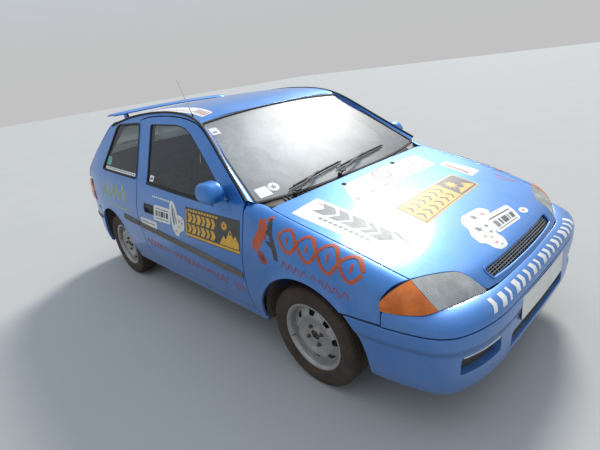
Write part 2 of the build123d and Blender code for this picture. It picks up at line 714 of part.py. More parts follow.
for label, side in (("front_strut_right", -1), ("front_strut_left", 1)):
    with BuildPart() as strut_part:
        add(strut(side))
    save(strut_part.part, label)

with BuildPart() as rear_axle:
    for side in (-1, 1):
        add(rod((-1080, side * 290, 252), (-1165, side * 565, 222), 14))
        add(rod((-1290, side * 290, 252), (-1205, side * 565, 222), 14))
        add(rod((-800, side * 500, 218), (-1185, side * 565, 205), 15))
        add(block((-1225, -1145), sorted((side * 552, side * 578)), (180, 330)))
        add(rod((-1185, side * 566, WHEEL_Z), (-1185, side * 636, WHEEL_Z), 40))
        add(rod((-1185, side * 562, 320), (-1180, side * 562, 600), 20))
        add(block((-1100, -1060), sorted((side * 268, side * 308)), (240, REAR_FLOOR_Z)))
        add(block((-1310, -1270), sorted((side * 268, side * 308)), (240, REAR_FLOOR_Z)))
save(rear_axle.part, "rear_suspension")

# ---------------------------------------------------------------- wheels
# tyre section (radius, across), one side; rim barrel and disc likewise
TYRE_HALF = [(168.0, 60.0), (181.0, 60.0), (181.0, 66.0), (196.0, 74.0), (222.0, 78.5), (248.0, 76.0),
             (264.0, 68.0), (270.5, 60.0), (273.5, 50.0)]


def tyre(x, y):
    with BuildPart() as p:
        with BuildSketch(Plane.XY):
            with BuildLine():
                pts = TYRE_HALF + [(r, -w) for r, w in reversed(TYRE_HALF)]
                Polyline(*[(r, w) for r, w in pts], (168.0, 60.0))
            make_face()
        revolve(axis=Axis.Y)
    return p.part.moved(Location((x, y, WHEEL_Z)))


def rim(x, y, side):
    with BuildPart() as p:
        with BuildSketch(Plane.XY):
            with BuildLine():
                # barrel, then the dished disc and hub; the outer face is towards +across
                Polyline((158, -64), (181, -64), (181, -60), (168, -60), (168, 60), (181, 60),
                         (181, 65), (160, 65), (160, 30), (148, 36), (104, 50), (62, 40),
                         (36, 44), (36, 52), (22, 52), (22, -8), (60, -8), (60, 20), (62, 26),
                         (104, 40), (140, 24), (158, 8), close=True)
            make_face()
        revolve(axis=Axis.Y)
        # eight vents near the edge of the disc
        with BuildSketch(Plane.XZ.offset(-80)):
            with PolarLocations(126, 8):
                Rectangle(20, 34)
        extrude(amount=80, mode=Mode.SUBTRACT)
    shape = p.part
    if side < 0:
        shape = shape.mirror(Plane.XZ)
    return shape.moved(Location((x, y, WHEEL_Z)))


WHEELS = [  # name, axle x, |y| of the wheel's middle, side
    ("front_right", AXLE_F, TRACK_F / 2, -1),
    ("front_left", AXLE_F, TRACK_F / 2, 1),
    ("rear_right", AXLE_R, TRACK_R / 2, -1),
    ("rear_left", AXLE_R, TRACK_R / 2, 1),
]
for place, x, y, side in WHEELS:
    with BuildPart() as tyre_part:
        add(tyre(x, side * y))
    save(tyre_part.part, f"tyre_{place}")
    with BuildPart() as rim_part:
        add(rim(x, side * y, side))
    save(rim_part.part, f"rim_{place}")

# ---------------------------------------------------------------- inside
SEAT = [(200, 402), (206, 470), (-60, 452), (-262, 436), (-330, 560), (-432, 880), (-440, 1040),
        (-520, 1050), (-530, 880), (-460, 640), (-404, 330), (-380, 262), (150, 262)]
with BuildPart() as seat_right:
    add(side_prism(SEAT, -612, -150))
pair_node(seat_right.part, "front_seats")

with BuildPart() as rear_seat:
    add(side_prism([(-560, 364), (-556, 450), (-860, 430), (-1010, 860), (-1100, 880), (-1110, 840),
                    (-980, 364), (-880, 363.5), (-880, 262), (-600, 262)], -518, 518))
save(rear_seat.part, "rear_seat")

COLUMN = Vector(-cos(radians(24)), 0, sin(radians(24)))
WHEEL_HUB = Vector(262, -370, 822)
with BuildPart() as dashboard:
    add(side_prism([(679.5, 420), (679.5, 862), (560, 872), (430, 846), (396, 800), (410, 700),
                    (520, 640), (600, 420)], -668, 668))
    add(rod(WHEEL_HUB - COLUMN * 62, WHEEL_HUB - COLUMN * 230, 38))
    add(side_prism([(600, 264), (600, 470), (420, 470), (260, 400), (-120, 360), (-120, 331), (300, 331)],
                   -108, 108))
    add(rod((60, 0, 350), (40, 0, 500), 9))
    with Locations((38, 0, 512)):
        Sphere(24)
    add(floor_pan.part, mode=Mode.SUBTRACT)
    add(bulkhead.part, mode=Mode.SUBTRACT)
save(dashboard.part, "dashboard")

with BuildPart(Plane(origin=WHEEL_HUB, x_dir=(0, 1, 0), z_dir=COLUMN)) as steering_wheel:
    Torus(182, 14)
    with BuildSketch(Plane(origin=WHEEL_HUB - COLUMN * 56, x_dir=(0, 1, 0), z_dir=COLUMN)):
        Circle(46)
    extrude(amount=50)
    for angle in (0, 180, 270):
        with BuildSketch(Plane(origin=WHEEL_HUB - COLUMN * 18, x_dir=(0, 1, 0), z_dir=COLUMN)):
            with Locations(Location((0, 0, 0), (0, 0, angle))):
                with Locations((100, 0)):
                    Rectangle(160, 34)
        extrude(amount=14)
save(steering_wheel.part, "steering_wheel")

# ---------------------------------------------------------------- on the outside
with BuildPart() as mirror_right:
    add(side_prism([(486, 936), (478, 1010), (500, 1034), (590, 1024), (628, 980), (600, 930)], -872, -772))
    add(side_prism([(520, 930), (520, 975), (600, 975), (610, 930)], -780, -700))
    add(cabin_outer, mode=Mode.SUBTRACT)
    add(door_right.part, mode=Mode.SUBTRACT)
save(mirror_right.part, "mirror_right")
with BuildPart() as mirror_left:
    add(mirror_right.part.mirror(Plane.XZ))
save(mirror_left.part, "mirror_left")


def on_glass(y, s, h):
    """A point h above the windscreen, s up from its foot, y across."""
    a = radians(WS_TILT)
    depth = h - WS_BOW * (y / 690.0) ** 2
    return (WS_BASE[0] - s * cos(a) + depth * sin(a), y, WS_BASE[1] + s * sin(a) + depth * cos(a))


WIPERS = [  # pivot y, blade start (y, s), blade end (y, s)
    (-500.0, (-500.0, 62.0), (-40.0, 104.0)),
    (-150.0, (-120.0, 66.0), (400.0, 112.0)),
]
with BuildPart() as wipers:
    for pivot, start, end in WIPERS:
        foot = on_glass(pivot, 15, 15)
        mid = on_glass((start[0] + end[0]) / 2, (start[1] + end[1]) / 2, 18)
        add(rod(foot, mid, 7))
        add(rod(on_glass(*start, 13), mid, 6))
        add(rod(mid, on_glass(*end, 13), 6))
        with Locations(mid):
            Sphere(8)
        add(rod((foot[0], foot[1], foot[2] + 4), (foot[0], foot[1], foot[2] - 9), 12))
    add(cowl_panel.part, mode=Mode.SUBTRACT)
    add(windscreen.part, mode=Mode.SUBTRACT)
save(wipers.part, "wipers")

with BuildPart() as antenna:
    add(rod((104, -570, 1296), (96, -570, 1338), 11))
    add(rod((98, -570, 1330), (8, -572, 1534), 3.2))
    add(cabin_outer, mode=Mode.SUBTRACT)
save(antenna.part, "antenna")
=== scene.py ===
import bpy
import math
import numpy as np
from mathutils import Vector, Matrix
from mathutils.geometry import delaunay_2d_cdt


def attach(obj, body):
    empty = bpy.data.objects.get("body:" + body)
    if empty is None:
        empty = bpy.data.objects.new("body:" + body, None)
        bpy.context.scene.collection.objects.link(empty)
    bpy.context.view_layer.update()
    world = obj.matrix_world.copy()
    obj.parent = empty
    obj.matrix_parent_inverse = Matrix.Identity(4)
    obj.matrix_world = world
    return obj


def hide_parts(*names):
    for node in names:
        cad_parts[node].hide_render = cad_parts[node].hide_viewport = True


# A small three-door hatchback rally car. Shapes are worked out in millimetres,
# in the CAD frame, and written to the meshes in metres.

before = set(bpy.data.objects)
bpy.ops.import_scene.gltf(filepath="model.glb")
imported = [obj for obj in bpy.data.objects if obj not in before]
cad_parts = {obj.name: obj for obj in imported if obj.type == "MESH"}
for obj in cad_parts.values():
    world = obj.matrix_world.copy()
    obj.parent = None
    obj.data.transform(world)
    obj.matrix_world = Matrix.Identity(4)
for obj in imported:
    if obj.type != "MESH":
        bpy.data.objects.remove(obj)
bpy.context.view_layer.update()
pi = math.pi


# =================================================================== curves
def pchip(xs, ys):
    """A smooth curve through points, without overshoot, straight beyond its ends."""
    xs, ys = np.array(xs, float), np.array(ys, float)
    if xs[0] > xs[-1]:
        xs, ys = xs[::-1], ys[::-1]
    h = np.diff(xs)
    d = np.diff(ys) / h
    m = np.zeros(len(xs))
    if len(xs) > 2:
        w1, w2 = 2 * h[1:] + h[:-1], h[1:] + 2 * h[:-1]
        ok = d[1:] * d[:-1] > 0
        m[1:-1][ok] = (w1 + w2)[ok] / (w1[ok] / d[:-1][ok] + w2[ok] / d[1:][ok])
    m[0], m[-1] = d[0], d[-1]

    def f(x):
        x = np.asarray(x, float)
        i = np.clip(np.searchsorted(xs, x, side="right") - 1, 0, len(h) - 1)
        t = (x - xs[i]) / h[i]
        c = np.clip(t, 0, 1)
        v = (ys[i] * (1 + 2 * c) * (1 - c) ** 2 + m[i] * h[i] * c * (1 - c) ** 2
             + ys[i + 1] * c * c * (3 - 2 * c) - m[i + 1] * h[i] * c * c * (1 - c))
        return v + (t - c) * h[i] * np.where(t < 0, m[0], m[-1])
    return f


def nspline(xs, ys):
    """A natural cubic spline, straight beyond its ends."""
    xs, ys = np.array(xs, float), np.array(ys, float)
    if xs[0] > xs[-1]:
        xs, ys = xs[::-1], ys[::-1]
    n = len(xs)
    h = np.diff(xs)
    a = np.eye(n)
    b = np.zeros(n)
    for i in range(1, n - 1):
        a[i, i - 1], a[i, i], a[i, i + 1] = h[i - 1], 2 * (h[i - 1] + h[i]), h[i]
        b[i] = 6 * ((ys[i + 1] - ys[i]) / h[i] - (ys[i] - ys[i - 1]) / h[i - 1])
    k = np.linalg.solve(a, b)
    s0 = (ys[1] - ys[0]) / h[0] - h[0] * k[1] / 6
    s1 = (ys[-1] - ys[-2]) / h[-1] + h[-1] * k[-2] / 6

    def f(x):
        x = np.asarray(x, float)
        c = np.clip(x, xs[0], xs[-1])
        i = np.clip(np.searchsorted(xs, c, side="right") - 1, 0, n - 2)
        p, q = xs[i + 1] - c, c - xs[i]
        v = (k[i] * p ** 3 + k[i + 1] * q ** 3) / (6 * h[i]) + (ys[i] / h[i] - k[i] * h[i] / 6) * p + (ys[i + 1] / h[i] - k[i + 1] * h[i] / 6) * q
        return v + (x - c) * np.where(x < xs[0], s0, s1)
    return f


def cr(points, n=8, closed=False):
    """A smooth line through the points, n steps for each span."""
    p = np.array(points, float)
    k = len(p)
    out = []
    spans = k if closed else k - 1
    for i in range(spans):
        p1, p2 = p[i], p[(i + 1) % k]
        p0 = p[(i - 1) % k] if closed or i > 0 else 2 * p1 - p2
        p3 = p[(i + 2) % k] if closed or i < k - 2 else 2 * p2 - p1
        d0, d1, d2 = (max(np.linalg.norm(b - a), 1e-6) ** 0.5 for a, b in ((p0, p1), (p1, p2), (p2, p3)))
        m1 = (p1 - p0) / d0 - (p2 - p0) / (d0 + d1) + (p2 - p1) / d1
        m2 = (p2 - p1) / d1 - (p3 - p1) / (d1 + d2) + (p3 - p2) / d2
        m1, m2 = m1 * d1, m2 * d1
        for t in np.arange(n) / n:
            out.append(p1 * (1 + 2 * t) * (1 - t) ** 2 + m1 * t * (1 - t) ** 2 + p2 * t * t * (3 - 2 * t) - m2 * t * t * (1 - t))
    if not closed:
        out.append(p[-1])
    return np.array(out)


class Line:
    """A line in any number of dimensions, read by its share of length."""
    def __init__(s, pts):
        s.p = np.array(pts, float)
        d = np.linalg.norm(np.diff(s.p, axis=0), axis=1)
        s.s = np.concatenate([[0], np.cumsum(d)])
        s.length = s.s[-1]

    def at(s, t):
        t = np.asarray(t, float) * s.length
        return np.stack([np.interp(t, s.s, s.p[:, k]) for k in range(s.p.shape[1])], -1)

    def at_len(s, l):
        return s.at(np.asarray(l, float) / s.length)


def resample(pts, h, closed=False):
    p = np.array(pts, float)
    if closed:
        p = np.vstack([p, p[:1]])
    ln = Line(p)
    n = max(2, int(round(ln.length / h)))
    q = ln.at(np.linspace(0, 1, n + 1))
    return q[:-1] if closed else q


def dens(poly, h):
    """A closed outline with no side longer than h, its corners kept."""
    p = np.array(poly, float)
    out = []
    for a, b in zip(p, np.roll(p, -1, axis=0)):
        n = max(1, int(math.ceil(np.linalg.norm(b - a) / h)))
        for i in range(n):
            out.append(a + (b - a) * i / n)
    return np.array(out)


def rounded(poly, r, n=4, least=18):
    """A closed outline with its corners cut back by r and rounded. r may be a list, one for each corner."""
    p = np.array(poly, float)
    k = len(p)
    rs = [r] * k if np.isscalar(r) else list(r)
    out = []
    for i in range(k):
        a, b, c = p[i - 1], p[i], p[(i + 1) % k]
        u, v = a - b, c - b
        lu, lv = np.linalg.norm(u), np.linalg.norm(v)
        if lu < 1e-9 or lv < 1e-9:
            continue
        turn = 180 - math.degrees(math.acos(max(-1, min(1, float(u @ v) / lu / lv))))
        cut = min(rs[i], lu * 0.48, lv * 0.48)
        if turn < least or cut <= 0:
            out.append(b)
            continue
        s, e = b + u / lu * cut, b + v / lv * cut
        for t in np.linspace(0, 1, n + 1):
            out.append(s * (1 - t) ** 2 + 2 * b * t * (1 - t) + e * t * t)
    return np.array(out)


def area2(p):
    x, y = p[:, 0], p[:, 1]
    return 0.5 * float(np.sum(x * np.roll(y, -1) - y * np.roll(x, -1)))


def ccw(p):
    return p if area2(p) > 0 else p[::-1]


def inside(poly, q):
    """Which of the points q are inside the outline."""
    a, b = poly, np.roll(poly, -1, axis=0)
    r = np.zeros(len(q), bool)
    for (x1, y1), (x2, y2) in zip(a, b):
        if y1 == y2:
            continue
        hit = ((y1 > q[:, 1]) != (y2 > q[:, 1])) & (q[:, 0] < (x2 - x1) * (q[:, 1] - y1) / (y2 - y1) + x1)
        r ^= hit
    return r


def mitres(p):
    """Unit-width outward mitre vectors of a counter-clockwise outline."""
    e = np.roll(p, -1, axis=0) - p
    e /= np.maximum(np.linalg.norm(e, axis=1), 1e-9)[:, None]
    n = np.stack([e[:, 1], -e[:, 0]], 1)
    m = n + np.roll(n, 1, axis=0)
    l = np.linalg.norm(m, axis=1)
    m /= np.maximum(l, 1e-6)[:, None]
    c = np.maximum(np.sum(m * n, axis=1), 0.55)
    return m / c[:, None]


# =================================================================== mesh building
class Part:
    def __init__(s):
        s.v, s.n, s.f, s.m, s.c = [], [], [], [], 0

    def add(s, V, N, F, m=0):
        V = np.asarray(V, float).reshape(-1, 3)
        F = [tuple(int(i) for i in f) for f in F]
        if N is None:
            N = smooth_normals(V, F)
        s.v.append(V)
        s.n.append(np.asarray(N, float).reshape(-1, 3))
        c = s.c
        s.f += [tuple(i + c for i in f) for f in F]
        s.m += [m] * len(F)
        s.c += len(V)
        return s

    def join(s, *parts):
        for o in parts:
            for V, N in zip(o.v, o.n):
                s.v.append(V)
                s.n.append(N)
            s.f += [tuple(i + s.c for i in f) for f in o.f]
            s.m += o.m
            s.c += o.c
        return s

    def mirror(s):
        o = Part()
        o.v = [V * [1, -1, 1] for V in s.v]
        o.n = [N * [1, -1, 1] for N in s.n]
        o.f = [tuple(reversed(f)) for f in s.f]
        o.m, o.c = list(s.m), s.c
        return o

    def moved(s, t, R=None):
        o = Part()
        R = np.eye(3) if R is None else np.array(R, float)
        o.v = [V @ R.T + np.array(t, float) for V in s.v]
        o.n = [N @ R.T for N in s.n]
        o.f, o.m, o.c = list(s.f), list(s.m), s.c
        return o


def smooth_normals(V, F):
    N = np.zeros_like(V)
    for k in (3, 4):
        G = np.array([f for f in F if len(f) == k], int)
        if len(G):
            n = np.cross(V[G[:, 1]] - V[G[:, 0]], V[G[:, 2]] - V[G[:, 0]])
            if k == 4:
                n += np.cross(V[G[:, 2]] - V[G[:, 0]], V[G[:, 3]] - V[G[:, 0]])
            for j in range(k):
                np.add.at(N, G[:, j], n)
    for f in F:
        if len(f) > 4:
            p = V[list(f)]
            n = np.sum(np.cross(p, np.roll(p, -1, axis=0)), axis=0)
            N[list(f)] += n
    return N / np.maximum(np.linalg.norm(N, axis=1), 1e-12)[:, None]


def both(part):
    return Part().join(part, part.mirror())


MATS = {}


def make(name, part, mats, body, replaces=()):
    V, N = np.vstack(part.v), np.vstack(part.n)
    key = np.round(np.hstack([V * 20, N * 6])).astype(np.int64)
    _, first, inv = np.unique(key, axis=0, return_index=True, return_inverse=True)
    inv = inv.reshape(-1)
    F, M = [], []
    for f, m in zip(part.f, part.m):
        g = []
        for i in f:
            j = int(inv[i])
            if not g or (g[-1] != j and g[0] != j):
                g.append(j)
        if len(g) < 3 or len(set(g)) < len(g):
            continue
        F.append(g)
        M.append(m)
    V, N = V[first] / 1000.0, N[first]
    used = np.zeros(len(V), bool)
    for g in F:
        used[g] = True
    remap = np.cumsum(used) - 1
    V, N = V[used], N[used]
    me = bpy.data.meshes.new(name)
    me.vertices.add(len(V))
    me.vertices.foreach_set("co", V.astype(np.float32).ravel())
    tot = np.array([len(g) for g in F])
    me.loops.add(int(tot.sum()))
    me.loops.foreach_set("vertex_index", remap[np.concatenate([np.array(g) for g in F])].astype(np.int32))
    me.polygons.add(len(F))
    me.polygons.foreach_set("loop_start", (np.cumsum(tot) - tot).astype(np.int32))
    me.polygons.foreach_set("material_index", np.array(M, np.int32))
    me.update(calc_edges=True)
    me.shade_smooth()
    me.normals_split_custom_set_from_vertices([tuple(n) for n in N])
    ob = bpy.data.objects.new(name, me)
    bpy.context.scene.collection.objects.link(ob)
    for m in mats:
        me.materials.append(MATS[m])
    if body:
        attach(ob, body)
    if replaces:
        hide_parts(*replaces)
    return ob


class Surf:
    """A surface point(u, v), with its outward side given by sgn."""
    def __init__(s, f, sgn=1, lift=0.0):
        s.f, s.sgn, s.lift = f, sgn, lift

    def pn(s, uv, lift=0.0):
        uv = np.asarray(uv, float)
        u, v = uv[:, 0], uv[:, 1]
        e = 0.7
        du = s.f(u + e, v) - s.f(u - e, v)
        dv = s.f(u, v + e) - s.f(u, v - e)
        n = np.cross(du, dv) * s.sgn
        n /= np.maximum(np.linalg.norm(n, axis=1), 1e-12)[:, None]
        return s.f(u, v) + n * (lift + s.lift), n

    def p(s, uv, lift=0.0):
        return s.pn(uv, lift)[0]

    def lifted(s, h):
        return Surf(s.f, s.sgn, s.lift + h)


def fill(outline, holes, h, tol=0.62):
    """Vertices and triangles that fill an outline with holes. The first vertices are the outlines', in order."""
    loops = [np.asarray(outline)] + [np.asarray(x) for x in holes]
    edge = np.vstack(loops)
    lo, hi = loops[0].min(0), loops[0].max(0)
    nx, ny = (max(1, int(round((hi[k] - lo[k]) / h))) for k in (0, 1))
    gx = np.linspace(lo[0], hi[0], nx + 1)
    gy = np.linspace(lo[1], hi[1], ny + 1)
    g = np.stack(np.meshgrid(gx, gy, indexing="ij"), -1).reshape(-1, 2)
    g = g[inside(loops[0], g)]
    for x in loops[1:]:
        g = g[~inside(x, g)]
    if len(g):
        keep = np.ones(len(g), bool)
        for i in range(0, len(edge), 64):
            d = np.linalg.norm(g[:, None] - edge[None, i:i + 64], axis=2).min(1)
            keep &= d > tol * h
        g = g[keep]
    pts = np.vstack([edge, g]) if len(g) else edge
    es, k = [], 0
    for x in loops:
        n = len(x)
        es += [(k + i, k + (i + 1) % n) for i in range(n)]
        k += n
    out = delaunay_2d_cdt([Vector((float(a), float(b))) for a, b in pts], es, [], 0, 1e-4)
    q = np.array([tuple(v) for v in out[0]], float)
    t = np.array([f for f in out[2] if len(f) == 3], int)
    c = q[t].mean(1)
    ok = inside(loops[0], c)
    for x in loops[1:]:
        ok &= ~inside(x, c)
    t = t[ok]
    a, b, c = q[t[:, 0]], q[t[:, 1]], q[t[:, 2]]
    s = (b[:, 0] - a[:, 0]) * (c[:, 1] - a[:, 1]) - (b[:, 1] - a[:, 1]) * (c[:, 0] - a[:, 0])
    t[s < 0] = t[s < 0][:, ::-1]
    return q, t[np.abs(s) > 1e-6]


def panel(part, S, outline, holes=(), rim=3.0, depth=12.0, h=24.0, back=False, m=0, mb=None, lift=0.0, sides=True, hole_depth=None):
    """A sheet on a surface: rounded rims, walls of a given depth, and an inner face if back is set."""
    mb = m if mb is None else mb
    out = ccw(dens(outline, h))
    hs = [ccw(dens(x, h)) for x in holes]
    outs = [out] + hs
    mv = [mitres(out)] + [-mitres(x) for x in hs]
    ins = [p - k * rim for p, k in zip(outs, mv)]
    q, t = fill(ins[0], ins[1:], h)
    P, N = S.pn(q, lift)
    F = t if S.sgn > 0 else t[:, ::-1]
    part.add(P, N, F, m)
    if back:
        part.add(P - N * depth, -N, F[:, ::-1], mb)
    for k, (p, mi) in enumerate(zip(ins, mv)):
        n = len(p)
        P, N = S.pn(p, lift)
        T = S.p(p + mi * rim, lift) - P
        T -= N * np.sum(T * N, axis=1)[:, None]
        tl = np.maximum(np.linalg.norm(T, axis=1), 1e-9)[:, None]
        U = T / tl
        dep = depth if k == 0 or hole_depth is None else hole_depth
        rings, norms = [P], [N]
        steps = (30, 60, 90) if rim > 1 else (90,)
        rz = min(rim, dep)
        for a in steps:
            s_, c_ = math.sin(math.radians(a)), math.cos(math.radians(a))
            rings.append(P + T * s_ - N * rz * (1 - c_))
            norms.append(N * c_ + U * s_)
        flip = (S.sgn > 0) == (k == 0)
        idx = np.arange(n)
        nxt = (idx + 1) % n
        V = np.vstack(rings)
        NN = np.vstack(norms)
        f = []
        for r in range(len(rings) - 1):
            a, b = r * n, (r + 1) * n
            f.append(np.stack([a + idx, b + idx, b + nxt, a + nxt], 1))
        f = np.vstack(f)
        part.add(V, NN, f if flip else f[:, ::-1], m)
        if sides and dep > rz + 0.01:
            V = np.vstack([rings[-1], rings[-1] - N * (dep - rz)])
            NN = np.vstack([U, U])
            f = np.stack([idx, n + idx, n + nxt, nxt], 1)
            part.add(V, NN, f if flip else f[:, ::-1], m)
            if back:
                V = np.vstack([rings[-1] - N * (dep - rz), P - N * dep])
                NN = np.vstack([-N, -N])
                part.add(V, NN, f if flip else f[:, ::-1], mb)
    return part


def decal(part, S, outline, m=0, lift=0.7, h=26.0, holes=()):
    """A thin vinyl sheet on a surface."""
    return panel(part, S, outline, holes, rim=0.35, depth=0.6, h=h, m=m, lift=lift)


def strip(part, rows, m=0, closed=False, normals=None):
    """Quads between rows of points of the same length, each row an (n, 3) array. closed joins each row's ends."""
    P = np.array(rows, float)
    k, n = P.shape[:2]
    idx = np.arange(n if closed else n - 1)
    nxt = (idx + 1) % n
    f = np.vstack([np.stack([r * n + idx, r * n + nxt, (r + 1) * n + nxt, (r + 1) * n + idx], 1) for r in range(k - 1)])
    part.add(P.reshape(-1, 3), normals, f, m)
    return part


def sharp_groups(prof, limit=32):
    """Splits a profile where it turns by more than limit degrees."""
    p = np.array(prof, float)
    cuts = [0]
    for i in range(1, len(p) - 1):
        a, b = p[i] - p[i - 1], p[i + 1] - p[i]
        la, lb = np.linalg.norm(a), np.linalg.norm(b)
        if la < 1e-9 or lb < 1e-9:
            continue
        if math.degrees(math.acos(max(-1, min(1, float(a @ b) / la / lb)))) > limit:
            cuts.append(i)
    cuts.append(len(p) - 1)
    return [p[a:b + 1] for a, b in zip(cuts, cuts[1:]) if b > a]


def basis(axis):
    w = np.array(axis, float)
    w /= np.linalg.norm(w)
    a = np.array([1.0, 0, 0]) if abs(w[0]) < 0.9 else np.array([0, 0, 1.0])
    u = np.cross(a, w)
    u /= np.linalg.norm(u)
    return u, np.cross(w, u), w


def lathe(part, prof, origin, axis, n=48, m=0, limit=32):
    """Turns a profile of (radius, along) about an axis. A profile that rises along the axis has its outside to the right."""
    u, v, w = basis(axis)
    o = np.array(origin, float)
    th = np.arange(n) * 2 * pi / n
    ring = np.cos(th)[:, None] * u + np.sin(th)[:, None] * v
    for g in sharp_groups(prof, limit):
        rows = [o + ring * max(r, 0.01) + w * a for r, a in g]
        strip(part, rows, m, closed=True)
    return part


def frames(p, up=None):
    """Tangents and two normals along a line of points."""
    p = np.array(p, float)
    t = np.gradient(p, axis=0)
    t /= np.maximum(np.linalg.norm(t, axis=1), 1e-9)[:, None]
    if up is not None:
        b = np.cross(t, np.broadcast_to(np.array(up, float), t.shape))
        b /= np.maximum(np.linalg.norm(b, axis=1), 1e-9)[:, None]
        return t, np.cross(b, t), b
    n = np.zeros_like(t)
    n[0] = basis(t[0])[0]
    for i in range(1, len(t)):
        n[i] = n[i - 1] - t[i] * (n[i - 1] @ t[i])
        n[i] /= max(np.linalg.norm(n[i]), 1e-9)
    return t, n, np.cross(t, n)


def tube(part, pts, r, n=10, m=0, caps=True):
    p = np.array(pts, float)
    r = np.broadcast_to(np.asarray(r, float), (len(p),))
    t, a, b = frames(p)
    th = np.arange(n) * 2 * pi / n
    rows, nn = [], []
    for i in range(len(p)):
        d = np.cos(th)[:, None] * a[i] + np.sin(th)[:, None] * b[i]
        rows.append(p[i] + d * r[i])
        nn.append(d)
    strip(part, rows, m, closed=True, normals=np.vstack(nn))
    if caps:
        for i, s in ((0, -1), (-1, 1)):
            f = tuple(range(n)) if s > 0 else tuple(reversed(range(n)))
            part.add(rows[i], np.tile(t[i] * s, (n, 1)), [f], m)
    return part


def sweep(part, pts, sec, nrm, m=0, closed=False, limit=40, caps=True):
    """Sweeps a closed section of (across, out) points along a line. nrm is the outward normal at each point."""
    p = np.array(pts, float)
    if closed:
        t = np.roll(p, -1, axis=0) - np.roll(p, 1, axis=0)
    else:
        t = np.gradient(p, axis=0)
    t /= np.maximum(np.linalg.norm(t, axis=1), 1e-9)[:, None]
    w = np.broadcast_to(np.array(nrm, float), p.shape)
    w = w - t * np.sum(w * t, axis=1)[:, None]
    w /= np.maximum(np.linalg.norm(w, axis=1), 1e-9)[:, None]
    a = np.cross(w, t)
    s = np.array(sec, float)
    s = ccw(s)
    ring = np.vstack([s, s[:1]])
    for g in sharp_groups(ring, limit):
        rows = [p + a * x + w * y for x, y in g[::-1]]
        strip(part, rows, m, closed=closed)
    if caps and not closed:
        q0 = np.array([p[0] + a[0] * x + w[0] * y for x, y in s])
        q1 = np.array([p[-1] + a[-1] * x + w[-1] * y for x, y in s])
        part.add(q0, np.tile(-t[0], (len(s), 1)), [tuple(reversed(range(len(s))))], m)
        part.add(q1, np.tile(t[-1], (len(s), 1)), [tuple(range(len(s)))], m)
    return part


def rbox(part, centre, size, r=3.0, m=0, R=None, k=2):
    """A block with rounded edges."""
    h = np.array(size, float) / 2
    r = min(r, h.min() * 0.98)
    core = h - r
    R = np.eye(3) if R is None else np.array(R, float)
    ts = np.tan(np.linspace(-pi / 4, pi / 4, 2 * k + 1))
    for ax in range(3):
        for s in (-1, 1):
            i, j = (ax + 1) % 3, (ax + 2) % 3
            gu = np.concatenate([-core[i] + r * (ts[:k + 1] - 0), core[i] + r * ts[k:]])
            gv = np.concatenate([-core[j] + r * (ts[:k + 1] - 0), core[j] + r * ts[k:]])
            U, W = np.meshgrid(gu, gv, indexing="ij")
            q = np.zeros(U.shape + (3,))
            q[..., ax] = s * h[ax]
            q[..., i], q[..., j] = U, W
            c = np.clip(q, -core, core)
            d = q - c
            d /= np.maximum(np.linalg.norm(d, axis=-1), 1e-9)[..., None]
            P = (c + d * r).reshape(-1, 3)
            nu, nv = U.shape
            a = np.arange((nu - 1) * nv).reshape(nu - 1, nv)[:, :-1].ravel()
            f = np.stack([a, a + nv, a + nv + 1, a + 1], 1)
            if s < 0:
                f = f[:, ::-1]
            part.add(P @ R.T + np.array(centre, float), d.reshape(-1, 3) @ R.T, f, m)
    return part


def flat(origin, U, V):
    """A plane surface: u along U, v along V, outward along U x V."""
    o, U, V = (np.array(x, float) for x in (origin, U, V))
    return Surf(lambda u, v: o + u[:, None] * U + v[:, None] * V)


def circle(cx, cy, r, n=32, a0=0.0, a1=2 * pi):
    t = a0 + (a1 - a0) * np.arange(n) / n
    return np.stack([cx + r * np.cos(t), cy + r * np.sin(t)], 1)


def arc(cx, cy, r, a0, a1, n=12):
    t = np.radians(np.linspace(a0, a1, n))
    return np.stack([cx + r * np.cos(t), cy + r * np.sin(t)], 1)


def cat(*items):
    return np.vstack([np.array(x, float).reshape(-1, 2) for x in items])


# =================================================================== materials
def lin(r, g, b):
    def f(c):
        c /= 255.0
        return c / 12.92 if c <= 0.04045 else ((c + 0.055) / 1.055) ** 2.4
    return (f(r), f(g), f(b), 1.0)


